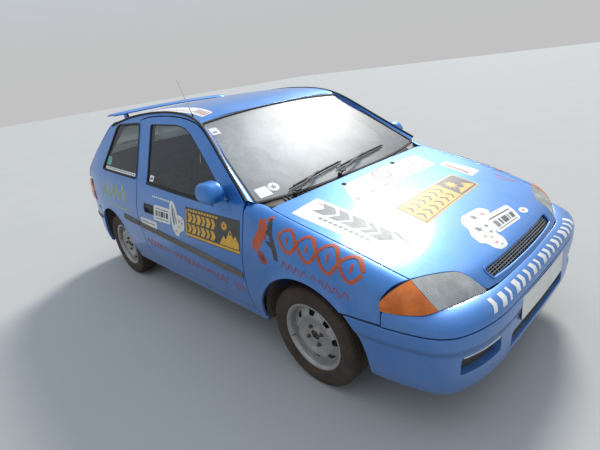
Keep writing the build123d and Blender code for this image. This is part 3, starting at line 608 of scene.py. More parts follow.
class M:
    """A small helper to write node materials."""
    def __init__(s, name):
        s.m = bpy.data.materials.new(name)
        s.m.use_nodes = True
        s.t = s.m.node_tree
        s.t.nodes.clear()
        s.out = s.t.nodes.new("ShaderNodeOutputMaterial")
        s.co = s.t.nodes.new("ShaderNodeTexCoord").outputs["Object"]
        MATS[name] = s.m

    def node(s, kind, **kw):
        n = s.t.nodes.new(kind)
        for k, v in kw.items():
            if k.startswith("i_"):
                key = k[2:].replace("_", " ")
                sock = n.inputs[int(key)] if key.isdigit() else n.inputs[key]
                if isinstance(v, bpy.types.NodeSocket):
                    s.t.links.new(v, sock)
                else:
                    sock.default_value = v
            else:
                setattr(n, k, v)
        return n

    def noise(s, scale, detail=3.0, rough=0.55, dist=0.0, vec=None):
        n = s.node("ShaderNodeTexNoise", i_Scale=scale, i_Detail=detail, i_Roughness=rough, i_Distortion=dist)
        s.t.links.new(s.co if vec is None else vec, n.inputs["Vector"])
        return n.outputs["Fac"]

    def vor(s, scale, feature="F1", vec=None):
        n = s.node("ShaderNodeTexVoronoi", feature=feature, i_Scale=scale)
        s.t.links.new(s.co if vec is None else vec, n.inputs["Vector"])
        return n.outputs["Distance"]

    def scaled(s, sx, sy, sz):
        n = s.node("ShaderNodeMapping")
        s.t.links.new(s.co, n.inputs["Vector"])
        n.inputs["Scale"].default_value = (sx, sy, sz)
        return n.outputs["Vector"]

    def xyz(s):
        n = s.node("ShaderNodeSeparateXYZ")
        s.t.links.new(s.co, n.inputs[0])
        return n.outputs

    def ramp(s, fac, *stops):
        n = s.node("ShaderNodeValToRGB")
        s.t.links.new(fac, n.inputs["Fac"])
        e = n.color_ramp.elements
        while len(e) < len(stops):
            e.new(0.5)
        for k, (p, c) in enumerate(stops):
            e[k].position = p
            e[k].color = c if isinstance(c, tuple) else (c, c, c, 1)
        return n.outputs["Color"]

    def math(s, op, a, b=0.0, c=None, clamp=False):
        n = s.node("ShaderNodeMath", operation=op, use_clamp=clamp)
        for i, v in enumerate((a, b) if c is None else (a, b, c)):
            if isinstance(v, bpy.types.NodeSocket):
                s.t.links.new(v, n.inputs[i])
            else:
                n.inputs[i].default_value = v
        return n.outputs[0]

    def mix(s, fac, a, b, kind="MIX"):
        n = s.node("ShaderNodeMix", data_type="RGBA", blend_type=kind)
        for k, v in ((0, fac), (6, a), (7, b)):
            if isinstance(v, bpy.types.NodeSocket):
                s.t.links.new(v, n.inputs[k])
            else:
                n.inputs[k].default_value = v
        return n.outputs[2]

    def maprange(s, v, a, b, c, d):
        n = s.node("ShaderNodeMapRange", clamp=True)
        s.t.links.new(v, n.inputs[0])
        for i, x in enumerate((a, b, c, d)):
            n.inputs[i + 1].default_value = x
        return n.outputs[0]

    def bump(s, height, strength=0.3, dist=0.001):
        n = s.node("ShaderNodeBump", i_Strength=strength, i_Distance=dist)
        s.t.links.new(height, n.inputs["Height"])
        return n.outputs["Normal"]

    def pbr(s, color, rough=0.5, metal=0.0, normal=None, **kw):
        n = s.node("ShaderNodeBsdfPrincipled")
        for k, v in (("Base Color", color), ("Roughness", rough), ("Metallic", metal)):
            if isinstance(v, bpy.types.NodeSocket):
                s.t.links.new(v, n.inputs[k])
            else:
                n.inputs[k].default_value = v
        if normal is not None:
            s.t.links.new(normal, n.inputs["Normal"])
        for k, v in kw.items():
            n.inputs[k.replace("_", " ")].default_value = v
        return n.outputs[0]

    def end(s, shader):
        s.t.links.new(shader, s.out.inputs["Surface"])
        return s.m


def dust_mask(k, low=0.30, high=0.95, amount=1.0):
    """Road dust: thick low down, thin and patchy higher up."""
    z = k.xyz()[2]
    g = k.maprange(z, low, high, 1.0, 0.0)
    n = k.noise(6.0, 5.0, 0.6)
    f = k.noise(55.0, 4.0, 0.7)
    patch = k.maprange(n, 0.35, 0.72, 0.0, 1.0)
    spot = k.maprange(f, 0.35, 0.75, 0.72, 1.0)
    a = k.math("MULTIPLY_ADD", g, 0.30, k.math("MULTIPLY", patch, 0.14))
    return k.math("MULTIPLY", k.math("MULTIPLY", a, spot), amount, clamp=True)


DUST = lin(168, 152, 130)


def paint_material(name, base, dark, light, dust=0.75):
    k = M(name)
    big = k.noise(2.2, 3.0)
    flake = k.noise(900.0, 1.0, 0.5)
    col = k.mix(k.maprange(big, 0.3, 0.7, 0.0, 1.0), base, dark)
    col = k.mix(k.maprange(flake, 0.45, 0.75, 0.0, 0.28), col, light)
    # fine pale scratches and stone chips
    scr = k.noise(160.0, 2.0, 0.8, vec=k.scaled(0.15, 0.15, 2.5))
    chips = k.maprange(k.vor(95.0), 0.0, 0.055, 1.0, 0.0)
    chips = k.math("MULTIPLY", chips, k.maprange(k.noise(14.0, 2.0), 0.58, 0.66, 0.0, 0.8))
    col = k.mix(k.maprange(scr, 0.70, 0.80, 0.0, 0.35), col, light)
    col = k.mix(chips, col, lin(190, 200, 205))
    d = dust_mask(k, amount=dust)
    col = k.mix(d, col, DUST)
    rough = k.math("MULTIPLY_ADD", d, 0.5, 0.34)
    rough = k.math("MULTIPLY_ADD", k.noise(30.0, 3.0), 0.10, rough)
    metal = k.math("MULTIPLY_ADD", d, -0.5, 0.5, clamp=True)
    nrm = k.bump(k.noise(700.0, 2.0), 0.02, 0.0004)
    return k.end(k.pbr(col, rough, metal, nrm, Coat_Weight=0.7, Coat_Roughness=0.12, Coat_IOR=1.5))


def simple(name, c0, c1, scale=20.0, rough=0.6, metal=0.0, bump=0.15, bscale=400.0, dust=0.0, rvar=0.15, **kw):
    """Two mottled tones, fine grain, and dust."""
    k = M(name)
    col = k.mix(k.maprange(k.noise(scale, 4.0), 0.3, 0.7, 0.0, 1.0), c0, c1)
    r = k.math("MULTIPLY_ADD", k.noise(scale * 2.3, 3.0), rvar, rough - rvar / 2)
    if dust:
        d = dust_mask(k, 0.2, 0.9, dust)
        col = k.mix(d, col, DUST)
        r = k.math("MULTIPLY_ADD", d, 0.3, r, clamp=True)
    nrm = k.bump(k.noise(bscale, 3.0), bump, 0.0006)
    return k.end(k.pbr(col, r, metal, nrm, **kw))


def glass_material(name, tint, dust_col, dust0, dust1, gloss=0.06, painted_glare=0.0):
    """Thin tinted glass with a film of dust, and a milky patch in the middle if painted_glare is set: painted glare, a
    pale patch where the sun's reflection falls.
    """
    k = M(name)
    tr = k.node("ShaderNodeBsdfTransparent", i_Color=tint)
    film = k.node("ShaderNodeBsdfDiffuse", i_Color=dust_col, i_Roughness=0.6)
    n = k.noise(3.5, 5.0, 0.62)
    f = k.noise(60.0, 3.0, 0.6)
    w = k.math("MULTIPLY_ADD", k.maprange(n, 0.3, 0.75, 0.0, 1.0), dust1 - dust0, dust0)
    w = k.math("MULTIPLY", w, k.maprange(f, 0.3, 0.8, 0.75, 1.15))
    if painted_glare:
        # painted glare: a pale patch round y -0.30 m, z 1.11 m, broken up by streaks, standing for the sun's reflection
        # on the windscreen
        x, y, z = k.xyz()
        dy = k.math("MULTIPLY", k.math("ADD", y, 0.30), 2.2)
        dz = k.math("MULTIPLY", k.math("ADD", z, -1.11), 5.6)
        g = k.math("POWER", 2.718, k.math("MULTIPLY", k.math("ADD", k.math("MULTIPLY", dy, dy), k.math("MULTIPLY", dz, dz)), -1.0))
        sw = k.noise(7.0, 4.0, 0.62, 0.8, vec=k.scaled(1.0, 1.0, 0.22))
        g = k.math("MULTIPLY", g, k.maprange(sw, 0.30, 0.70, 0.55, 1.15))
        w = k.math("MULTIPLY_ADD", g, painted_glare, w, clamp=True)
    a = k.node("ShaderNodeMixShader", i_0=w, i_1=tr.outputs[0], i_2=film.outputs[0])
    gl = k.node("ShaderNodeBsdfGlossy", i_Color=(1, 1, 1, 1), i_Roughness=gloss)
    fr = k.node("ShaderNodeFresnel", i_IOR=1.52)
    b = k.node("ShaderNodeMixShader", i_0=k.math("MULTIPLY_ADD", fr.outputs[0], 0.50, 0.02, clamp=True), i_1=a.outputs[0], i_2=gl.outputs[0])
    return k.end(b.outputs[0])


def lens_material(name, tint, body, share, ribs=0.0, rib_axis=1):
    """A moulded lens: part clear, part cloudy."""
    k = M(name)
    tr = k.node("ShaderNodeBsdfTransparent", i_Color=tint)
    n = k.noise(14.0, 5.0, 0.6)
    col = k.mix(k.maprange(n, 0.35, 0.7, 0.0, 1.0), body, tuple(min(1.0, c * 1.25) for c in body[:3]) + (1,))
    nrm = None
    if ribs:
        x = k.xyz()[rib_axis]
        wv = k.math("SINE", k.math("MULTIPLY", x, ribs))
        nrm = k.bump(wv, 0.5, 0.0012)
    sh = k.pbr(col, 0.16, 0.0, nrm, Coat_Weight=0.5, Coat_Roughness=0.05)
    w = k.math("MULTIPLY_ADD", k.maprange(n, 0.3, 0.75, 0.0, 1.0), 0.25, share, clamp=True)
    a = k.node("ShaderNodeMixShader", i_0=w, i_1=tr.outputs[0], i_2=sh)
    return k.end(a.outputs[0])


BLUE, BLUE_D, BLUE_L = lin(6, 115, 196), lin(4, 101, 182), lin(84, 192, 248)
paint_material("paint", BLUE, BLUE_D, BLUE_L)
# a darker, duller copy of the body paint for the insides, jambs and inner wings: painted shade, so the shut gaps and
# insides read dark
simple("paint_inner_shaded", lin(32, 78, 150), lin(26, 66, 130), 8, 0.5, 0.2, 0.1, dust=0.5)
simple("trim", lin(22, 22, 23), lin(34, 33, 32), 30, 0.55, 0, 0.25, 900, dust=0.45)
simple("moulding", lin(62, 60, 58), lin(96, 90, 82), 26, 0.72, 0, 0.35, 500, dust=0.8)
simple("rubber", lin(14, 14, 14), lin(24, 24, 24), 40, 0.7, 0, 0.2, 700, dust=0.25)
# windscreen: its pale film is partly real dust and partly painted glare, whiter and denser than on the side glass; the
# milky patch is painted glare
glass_material("glass", (0.66, 0.73, 0.71, 1), lin(206, 212, 214), 0.12, 0.30, 0.41, 0.60)
glass_material("glass_side", (0.42, 0.48, 0.48, 1), lin(150, 152, 150), 0.04, 0.12, 0.12)
lens_material("lens_clear", (0.80, 0.82, 0.78, 1), lin(192, 191, 184), 0.60, ribs=640.0, rib_axis=1)
lens_material("lens_amber", (1.0, 0.50, 0.10, 1), lin(236, 118, 22), 0.62, ribs=900.0, rib_axis=1)
lens_material("lens_red", (0.8, 0.06, 0.05, 1), lin(160, 16, 18), 0.66, ribs=700.0, rib_axis=2)
simple("chrome", lin(205, 208, 210), lin(180, 184, 188), 30, 0.16, 1.0, 0.05, 300, dust=0.3)
simple("reflector", lin(214, 212, 204), lin(190, 190, 184), 40, 0.22, 0.9, 0.1, 200)
simple("silver", lin(172, 174, 176), lin(140, 142, 146), 60, 0.34, 0.8, 0.2, 800, dust=0.35)
simple("tarnished", lin(120, 118, 112), lin(84, 80, 76), 60, 0.5, 0.5, 0.3, 600, dust=0.4)
simple("steel_dark", lin(50, 48, 46), lin(74, 68, 62), 30, 0.6, 0.4, 0.4, 300, dust=0.5)
simple("cast", lin(120, 118, 114), lin(90, 86, 80), 60, 0.62, 0.5, 0.7, 500, dust=0.4)
simple("aluminium", lin(180, 182, 184), lin(150, 152, 154), 40, 0.4, 0.9, 0.3, 600, dust=0.3)
simple("pipe", lin(120, 100, 84), lin(88, 62, 46), 26, 0.7, 0.5, 0.6, 240, dust=0.4)
simple("underbody", lin(34, 33, 32), lin(56, 52, 46), 12, 0.85, 0, 0.8, 120, dust=0.9)
simple("plastic", lin(38, 38, 40), lin(48, 48, 50), 30, 0.62, 0, 0.5, 1100, dust=0.1)
simple("plastic_grey", lin(92, 92, 92), lin(76, 76, 78), 30, 0.6, 0, 0.5, 1100)
simple("carpet", lin(40, 40, 42), lin(60, 58, 56), 300, 0.95, 0, 0.9, 900)
simple("headliner", lin(176, 172, 162), lin(160, 156, 148), 200, 0.95, 0, 0.5, 900)
simple("plate_white", lin(226, 226, 222), lin(210, 208, 200), 9, 0.42, 0, 0.1, 300, dust=0.25)
simple("plate_yellow", lin(232, 190, 40), lin(216, 172, 34), 9, 0.42, 0, 0.1, 300, dust=0.25)
simple("mirror_face", lin(210, 214, 218), lin(200, 204, 210), 9, 0.04, 1.0, 0.0, 10)
for nm, a, b in (("v_white", (232, 232, 228), (212, 210, 204)), ("v_yellow", (228, 176, 44), (204, 150, 36)),
                 ("v_dark", (44, 46, 50), (60, 60, 60)), ("v_orange", (196, 84, 30), (172, 66, 26)),
                 ("v_red", (164, 52, 40), (140, 44, 38)), ("v_pink", (226, 150, 150), (208, 120, 124)),
                 ("v_grey", (112, 122, 124), (92, 100, 104)), ("v_green", (178, 196, 84), (150, 172, 66)),
                 ("v_navy", (30, 52, 110), (26, 44, 92)), ("v_blush", (226, 206, 208), (216, 186, 190)), ("v_teal", (92, 168, 152), (76, 148, 134)),
                 ("cloth_flat", (74, 76, 82), (86, 88, 94))):
    simple(nm, lin(*a), lin(*b), 22, 0.46, 0, 0.1, 500, dust=0.4)


def cloth_material():
    k = M("cloth")
    n = k.noise(26.0, 3.0)
    col = k.mix(k.maprange(n, 0.35, 0.65, 0.0, 1.0), lin(64, 66, 72), lin(88, 90, 96))
    fleck = k.maprange(k.noise(420.0, 2.0), 0.58, 0.66, 0.0, 0.6)
    col = k.mix(fleck, col, lin(140, 142, 150))
    w1 = k.math("SINE", k.math("MULTIPLY", k.xyz()[0], 2600.0))
    w2 = k.math("SINE", k.math("MULTIPLY", k.xyz()[1], 2600.0))
    nrm = k.bump(k.math("MULTIPLY", w1, w2), 0.35, 0.0006)
    return k.end(k.pbr(col, 0.92, 0.0, nrm, Sheen_Weight=0.3, Sheen_Roughness=0.5))


def tyre_material():
    k = M("tyre")
    n = k.noise(9.0, 5.0, 0.6)
    f = k.noise(120.0, 3.0, 0.7)
    col = k.mix(k.maprange(f, 0.3, 0.7, 0.0, 1.0), lin(22, 20, 19), lin(37, 33, 30))
    d = k.math("MULTIPLY_ADD", k.maprange(n, 0.3, 0.65, 0.0, 1.0), 0.42, 0.18)
    d = k.math("MULTIPLY", d, k.maprange(f, 0.25, 0.75, 0.5, 1.1), clamp=True)
    col = k.mix(d, col, lin(96, 75, 58))
    nrm = k.bump(f, 0.35, 0.0008)
    return k.end(k.pbr(col, 0.88, 0.0, nrm))


def wheel_material():
    k = M("wheel_steel")
    n = k.noise(10.0, 5.0, 0.62)
    f = k.noise(160.0, 3.0, 0.7)
    col = k.mix(k.maprange(f, 0.3, 0.7, 0.0, 1.0), lin(190, 189, 187), lin(160, 158, 156))
    d = k.math("MULTIPLY", k.maprange(n, 0.3, 0.7, 0.10, 0.64), k.maprange(f, 0.25, 0.75, 0.6, 1.1), clamp=True)
    col = k.mix(d, col, lin(114, 98, 82))
    rough = k.math("MULTIPLY_ADD", d, 0.45, 0.38, clamp=True)
    metal = k.math("MULTIPLY_ADD", d, -0.7, 0.75, clamp=True)
    return k.end(k.pbr(col, rough, metal, k.bump(f, 0.2, 0.0005)))


def floor_material():
    k = M("floor")
    col = k.mix(k.noise(1.2, 3.0), lin(176, 175, 172), lin(170, 169, 166))
    return k.end(k.pbr(col, 0.9, 0.0, k.bump(k.noise(60.0, 3.0), 0.05, 0.001)))


cloth_material()
tyre_material()
wheel_material()
floor_material()


# =================================================================== body surfaces (right side; y positive outwards here)
PY = nspline([-1760, -1722, -1680, -1560, -1400, -1150, -900, -300, 400, 1000, 1150, 1300, 1450, 1560, 1640, 1700],
             [705, 722, 738, 759, 778, 790, 795, 796, 796, 795, 794, 790, 781, 766, 751, 736])
DZ = pchip([180, 236, 300, 360, 440, 510, 580, 660, 745, 830, 900, 1000, 1100, 1292, 1350],
           [66, 47, 29, 13, 2, 0, 0, 2, 6, 14, 25, 68, 112, 196, 222])
ARCHES = ((1098.0, 272.0, 345.0), (-1178.0, 290.0, 335.0))


def flare(x, z):
    o = 0
    for cx, cz, r in ARCHES:
        d = np.hypot(x - cx, z - cz)
        o = o + 7.0 * np.exp(-((d - r) / 17.0) ** 2)
    return o


def YS(x, z):
    return PY(x) - DZ(z) + flare(x, z)


side = Surf(lambda x, z: np.stack([x, -YS(x, z), z], -1))


def smooth01(t):
    t = np.clip(t, 0, 1)
    return t * t * (3 - 2 * t)


# bonnet
def low(x):
    return np.where(x < 1271, 0.235 * (x - 695), 135.36 + 0.30 * (x - 1271))


LOWX = nspline([695, 900, 1100, 1230, 1310, 1400, 1500, 1600, 1700, 1800], [0, 47.5, 94.5, 125.5, 146.5, 174, 205, 237, 271, 307])


def bonnet_top(x, y):
    return 950 - LOWX(x) - 19 * (np.abs(y) / 702.0) ** 2.1


def nose(x, y):
    return 600 + (1812 - 0.000135 * y * y - x) * 1.364


def ZB(x, y):
    a, b = bonnet_top(x, y), nose(x, y)
    k = 15.0
    return -k * np.log(np.exp(-(a - 700) / k) + np.exp(-(b - 700) / k)) + 700


def ux(u):
    return np.where(u < 1650, u, 1650 + (u - 1650) / 2.0)


def xu(x):
    x = np.asarray(x, float)
    return np.where(x < 1650, x, 1650 + (x - 1650) * 2.0)


bonnet_s = Surf(lambda u, y: np.stack([ux(u), y, ZB(ux(u), y)], -1))
PB = pchip([700, 780, 850, 1010, 1150, 1271, 1420, 1520, 1600], [716, 706, 693, 692, 687, 681, 668, 658, 648])


# fender: v below 0 is height under the shoulder, 0 to SH goes round it to the bonnet
SH = 120.0


def fender_f(x, v):
    s = smooth01((900 - x) / 150.0)
    zs = 850 - LOWX(x) + 22 * s
    ys = PY(x) - 19.0
    pb = PB(x)
    zt = ZB(x, pb) + 7 * s
    z = zs + np.minimum(v, 0)
    t = np.clip(1 - (zs - z) / 260.0, 0, 1)
    dz = DZ(np.minimum(z, 600))
    y = PY(x) - dz - 19.0 * t * t + flare(x, z)
    a = np.clip(v / SH, 0, 1.25) * pi / 2
    q = 0.92
    yy = pb + (ys - pb) * np.sign(np.cos(a)) * np.abs(np.cos(a)) ** q
    zz = zs + (zt - zs) * np.sin(a) ** q
    up = v > 0
    return np.stack([x, -np.where(up, yy, y), np.where(up, zz, z)], -1)


fender_s = Surf(fender_f)


def fz(x, z):
    """The fender's v at a height on its side."""
    s = smooth01((900 - x) / 150.0)
    return z - (850 - LOWX(x) + 22 * s)


# windscreen: u across, v up the glass
WT = math.radians(32.0)


def ws_p(y, s, d):
    d = d + 23.0 * (y / 690.0) ** 2
    return np.stack([843 - s * math.cos(WT) - d * math.sin(WT), y, 905 + s * math.sin(WT) - d * math.cos(WT)], -1)


ws_s = Surf(lambda y, s: ws_p(y, s, 0.0))

# roof
ZC = nspline([210, 160, 60, -60, -250, -500, -740, -960, -1180], [1309, 1325, 1352, 1368, 1377, 1374.5, 1363, 1340, 1309])
ZG = nspline([210, 195, 91, -20, -209, -427, -600, -775, -1034, -1180], [1288, 1294, 1326, 1343, 1355, 1354, 1345, 1329, 1287, 1258])
YG = nspline([210, 91, -209, -600, -1034, -1180], [598, 589, 581, 580, 582, 586])


def ZR(x, y):
    c = ZC(x)
    g = np.minimum(ZG(x) + 2, c - 6)
    t = np.abs(y) / YG(x)
    return c - (c - g) * (0.5 * t ** 2 + 0.5 * t ** 4)


roof_s = Surf(lambda x, y: np.stack([x, y, ZR(x, y)], -1))

# tail: u across (y), v down the hatch from the roof
TAIL = Line(cr([(-1104, 1323), (-1150, 1315), (-1186, 1300), (-1240, 1262), (-1420, 1126), (-1560, 1019), (-1612, 972),
                (-1652, 910), (-1690, 830), (-1718, 750), (-1738, 670), (-1757, 590), (-1764, 540)], 10))
TP = TAIL.at(np.linspace(0, 1, 241))
TD = np.gradient(TP, axis=0)
TD /= np.linalg.norm(TD, axis=1)[:, None]
TS = np.linspace(0, TAIL.length, 241)
for _ in range(10):
    TD[1:-1] = (TD[:-2] + TD[1:-1] * 2 + TD[2:]) / 4


def tail_f(y, s):
    px, pz = np.interp(s, TS, TP[:, 0]), np.interp(s, TS, TP[:, 1])
    dx, dz = np.interp(s, TS, TD[:, 0]), np.interp(s, TS, TD[:, 1])
    k = 30.0 * (np.abs(y) / 600.0) ** 2.4
    # outward is to the rear and up: (dz, -dx)
    return np.stack([px - dz * k, y, pz + dx * k], -1)


tail_s = Surf(tail_f, 1)


def ts(z=None, x=None):
    """Distance down the tail profile at a height, or at an x."""
    if x is not None:
        return float(np.interp(-x, -TP[:, 0], TS))
    return float(np.interp(-z, -TP[:, 1], TS))


# =================================================================== side panels
DOOR = np.array([(662, 300), (659, 523), (673, 641), (711, 791), (733, 932), (629, 1003), (465, 1113), (283, 1233), (195, 1278),
                 (91, 1304), (-20, 1320), (-209, 1331), (-440, 1328), (-574, 1314), (-512, 905), (-545, 807),
                 (-596, 670), (-584, 560), (-556, 380), (-520, 300)], float)
GLASS_D = [(596, 888), (556, 936), (420, 1036), (240, 1158), (120, 1234), (44, 1266), (-60, 1282),
           (-424, 1286), (-362, 926), (0, 908), (300, 896)]
GLASS_Q = [(-528, 936), (-594, 1290), (-960, 1280), (-1006, 1262), (-1196, 968), (-1186, 954)]


def front_line():
    return cr([(662, 300), (659, 400), (659, 523), (673, 641), (692, 716), (711, 791), (726, 872), (733, 932)], 4)


def rear_line():
    return cr([(-574, 1314), (-545, 1120), (-512, 905), (-522, 860), (-545, 807), (-580, 724), (-596, 670), (-597, 610), (-584, 560), (-572, 470), (-556, 380), (-520, 300)], 3)


def top_line():
    return cr([(733, 932), (629, 1003), (465, 1113), (283, 1233), (195, 1278), (91, 1304), (-20, 1320), (-209, 1331), (-440, 1328), (-574, 1314)], 4)


door_outline = rounded(cat(front_line(), top_line()[1:], rear_line()[1:]), 10, 3, 40)
HANDLE = rounded([(-458, 708), (-318, 708), (-300, 775), (-440, 777)], 10, 3)
SCREEN_LIFT = -3.2
gl_d = rounded(GLASS_D, [10, 14, 20, 20, 20, 20, 20, 24, 20, 10, 10], 4, 6)
gl_q = rounded(GLASS_Q, 20, 4, 12)


def grow(p, d):
    p = ccw(np.array(p, float))
    return p + mitres(p) * d


def grow_line(p, d):
    """A door edge line moved outwards; the line runs counter-clockwise round the door."""
    p = np.array(p, float)
    t = np.gradient(p, axis=0)
    t /= np.linalg.norm(t, axis=1)[:, None]
    return p + np.stack([t[:, 1], -t[:, 0]], 1) * d


GUT = cr([(752, 938), (732, 951), (629, 1019), (465, 1129), (283, 1250), (195, 1294), (91, 1325), (-20, 1342), (-209, 1354),
          (-427, 1353), (-600, 1344), (-775, 1328), (-1034, 1286), (-1100, 1272)], 4)
DPIL = cr([(-1100, 1272), (-1196, 1232), (-1330, 1146), (-1500, 1022), (-1560, 968), (-1606, 905), (-1632, 850)], 4)


def build_sides():
    # ---- door
    P = Part()
    panel(P, side, door_outline, [gl_d, HANDLE], rim=3.2, depth=38, h=34, back=True, m=0, mb=1, hole_depth=16)
    make("door_shell_right", P, ["paint", "paint_inner_shaded"], "door_leaf_right", ["door_right"])
    make("door_shell_left", P.mirror(), ["paint", "paint_inner_shaded"], "door_leaf_left", ["door_left"])
    G = Part()
    panel(G, side, grow(gl_d, 5), rim=0.6, depth=4, h=60, lift=-9)
    make("door_pane_right", G, ["glass_side"], "door_leaf_right", ["door_glass_right"])
    make("door_pane_left", G.mirror(), ["glass_side"], "door_leaf_left", ["door_glass_left"])
    # ---- seals: window channel and the belt strip
    R = Part()
    pts = ccw(resample(gl_d, 16, True))
    Pq, Nq = side.pn(pts, -6)
    sweep(R, Pq, [(-7, -4), (5, -4), (6, 2), (2, 5), (-6, 5)], Nq, closed=True)
    belt = resample([(460, 889), (300, 893), (0, 905), (-362, 922)], 30)
    Pq, Nq = side.pn(belt, 0)
    sweep(R, Pq, [(-8, -3), (8, -3), (8, 2), (4, 4.5), (-6, 4.5)], Nq)
    make("door_window_seal_right", R, ["rubber"], "door_leaf_right")
    make("door_window_seal_left", R.mirror(), ["rubber"], "door_leaf_left")
    # ---- quarter, B-pillar, roof rail, A-pillar side and sill in one panel
    ax, az, ar = ARCHES[1]
    a_top = math.degrees(math.atan2(math.sqrt(ar ** 2 - (-1446 - ax) ** 2), -1446 - ax))
    a_sill = math.degrees(math.atan2(256 - az, math.sqrt(ar ** 2 - (256 - az) ** 2)))
    arch = arc(ax, az, ar, a_top, a_sill, 42)
    gap = 6.0
    drear = grow_line(rear_line(), gap)[::-1]
    dtop = grow_line(top_line(), gap)[::-1]
    outline = cat(GUT, DPIL[1:], [(-1543, 850), (-1543, 604), (-1446, 604)], arch,
                  [(-826, 244), (742, 244), (750, 262), (753, 279), (668, 279), (666, 294), (-512, 294)],
                  drear[drear[:, 1] > 306], dtop[1:-1], [(738, 937)])
    Q = Part()
    panel(Q, side, outline, [gl_q], rim=3.0, depth=14, h=34, back=True, m=0, mb=1, hole_depth=12)
    # corner of the tail, from the side round to the hatch
    c0 = resample(DPIL, 20)
    n = len(c0)
    P0, N0 = side.pn(c0)
    hw = pchip([0, 50, 90, 600, 760], [541, 545, 549, 630, 644])
    e0, e1 = ts(x=-1108), ts(z=848)
    ss = e0 + (e1 - e0) * np.linspace(0, 1, n)
    yt = hw(ss) + 6
    P1, N1 = tail_s.pn(np.stack([-yt, ss], 1))
    C = np.stack([P1[:, 0], P0[:, 1] + (P0[:, 0] - P1[:, 0]) * 0.06, P1[:, 2]], 1)
    rows = []
    for t in np.linspace(0, 1, 9):
        rows.append(P0 * (1 - t) ** 2 + C * 2 * t * (1 - t) + P1 * t * t)
    strip(Q, rows[::-1], 0)
    strip(Q, [P1 - N1 * 14, P1], 0)
    make("body_side_shells", both(Q), ["paint", "paint_inner_shaded"], "car_body", ["body_sides"])
    # quarter glass
    G = Part()
    panel(G, side, grow(gl_q, 4), rim=0.6, depth=4, h=60, lift=-6)
    make("quarter_panes", both(G), ["glass_side"], "car_body", ["quarter_glasses"])
    R = Part()
    pts = ccw(resample(gl_q, 16, True))
    Pq, Nq = side.pn(pts, -1)
    sweep(R, Pq, [(-8, -6), (7, -6), (7, 0), (3, 4), (-5, 4), (-8, 1)], Nq, closed=True)
    # door opening seal
    seal = ccw(resample(grow(door_outline, -6), 26, True))
    Pq, Nq = side.pn(seal, -46)
    sweep(R, Pq, circle(0, 0, 6, 8), Nq, closed=True)
    # gutter moulding
    Pq, Nq = side.pn(resample(GUT, 22), 1)
    sweep(R, Pq, [(-9, -4), (5, -4), (5, 3), (1, 7), (-6, 7), (-9, 3)], Nq)
    make("window_seals_and_gutters", both(R), ["rubber"], "car_body")
    J = Part()
    # painted jamb behind the door edges, in the darker inner paint: painted shade in the shut gaps
    o = np.vstack([grow(door_outline, 14), grow(door_outline, 14)[:1]])
    q = np.vstack([grow(door_outline, -4), grow(door_outline, -4)[:1]])
    A1, _ = side.pn(o, -15)
    A2, _ = side.pn(o, -53)
    A3, _ = side.pn(q, -53)
    strip(J, [A1, A2, A3], 0)
    make("door_jambs", both(J), ["paint_inner_shaded"], "car_body")
    # plates that close the sill, underneath and towards the cabin floor
    S = Part()
    xs = np.linspace(-826, 742, 25)
    one = np.ones(25)
    under, _ = side.pn(np.stack([xs, 247.0 * one], 1), -6)
    upper, _ = side.pn(np.stack([xs, 302.0 * one], 1), -50)
    low, high = np.stack([xs, -684.0 * one, 239.0 * one], 1), np.stack([xs, -684.0 * one, 262.0 * one], 1)
    patch(S, np.array([under, (under + low) / 2, low]), 0, wall=0, facing=(0, 0, -1))
    patch(S, np.array([low, high, upper]), 0, wall=0, facing=(0, 1, 0.3))
    make("sill_closing_plates", both(S), ["underbody"], "car_body")


def build_fenders():
    P = Part()
    fx, fz_, fr = ARCHES[0]
    a1 = math.degrees(math.atan2(300 - fz_, -math.sqrt(fr ** 2 - (300 - fz_) ** 2)))
    a2 = math.degrees(math.atan2(531 - fz_, math.sqrt(fr ** 2 - (531 - fz_) ** 2)))
    arch = arc(fx, fz_, fr, a1, a2, 48)
    side_pts = cat([(668, 284), (752, 284)], arch, [(1420, 531), (1517, 531), (1517, 600), (1518, 640)])
    uv = np.stack([side_pts[:, 0], fz(side_pts[:, 0], side_pts[:, 1])], 1)
    # lamp edge, up the shoulder to the bonnet
    lamp = cr([(1521, float(fz(1521, 646))), (1532, 26), (1548, 58), (1566, 88), (1586, SH)], 4)
    top = np.array([(x, SH) for x in np.linspace(1570, 860, 30)])
    back = cr([(856, SH), (838, SH + 4), (800, SH + 6), (770, SH - 4), (748, SH - 22), (741, SH - 50)], 3)
    r = grow_line(front_line(), 6)[::-1]
    rr = np.stack([r[:, 0], fz(r[:, 0], r[:, 1])], 1)
    rr = rr[(rr[:, 1] < SH * 0.45) & (r[:, 1] > 292)]
    out = cat(uv, lamp, top, back, rr)
    panel(P, fender_s, out, rim=3.0, depth=13, h=26, back=True, m=0, mb=1)
    make("fender_shells", both(P), ["paint", "paint_inner_shaded"], "car_body", ["front_fenders"])
    L = Part()
    for (cx, cz, r0), (w0, w1), (b0, b1) in ((ARCHES[0], (-752, -440), (-5, 184)), (ARCHES[1], (-752, -560), (-6, 186))):
        th = np.radians(np.linspace(b0, b1, 40))
        rows = []
        for y, dr in ((w0, 9), (w0 + 60, 10), (-640, 11), (w1, 11), (w1 + 2, -60)):
            rows.append(np.stack([cx + (r0 + dr) * np.cos(th), np.full(len(th), float(y)), cz + (r0 + dr) * np.sin(th)], 1))
        strip(L, rows[:4], 0)
        strip(L, rows[3:], 0)
    make("arch_liners", both(L), ["underbody"], "car_body")


# =================================================================== bonnet, grille, nose
LAMP_TOP = cr([(1590, 649), (1628, 560), (1668, 486), (1686, 462), (1712, 449), (1745, 441), (1770, 430), (1783, 420)], 5)


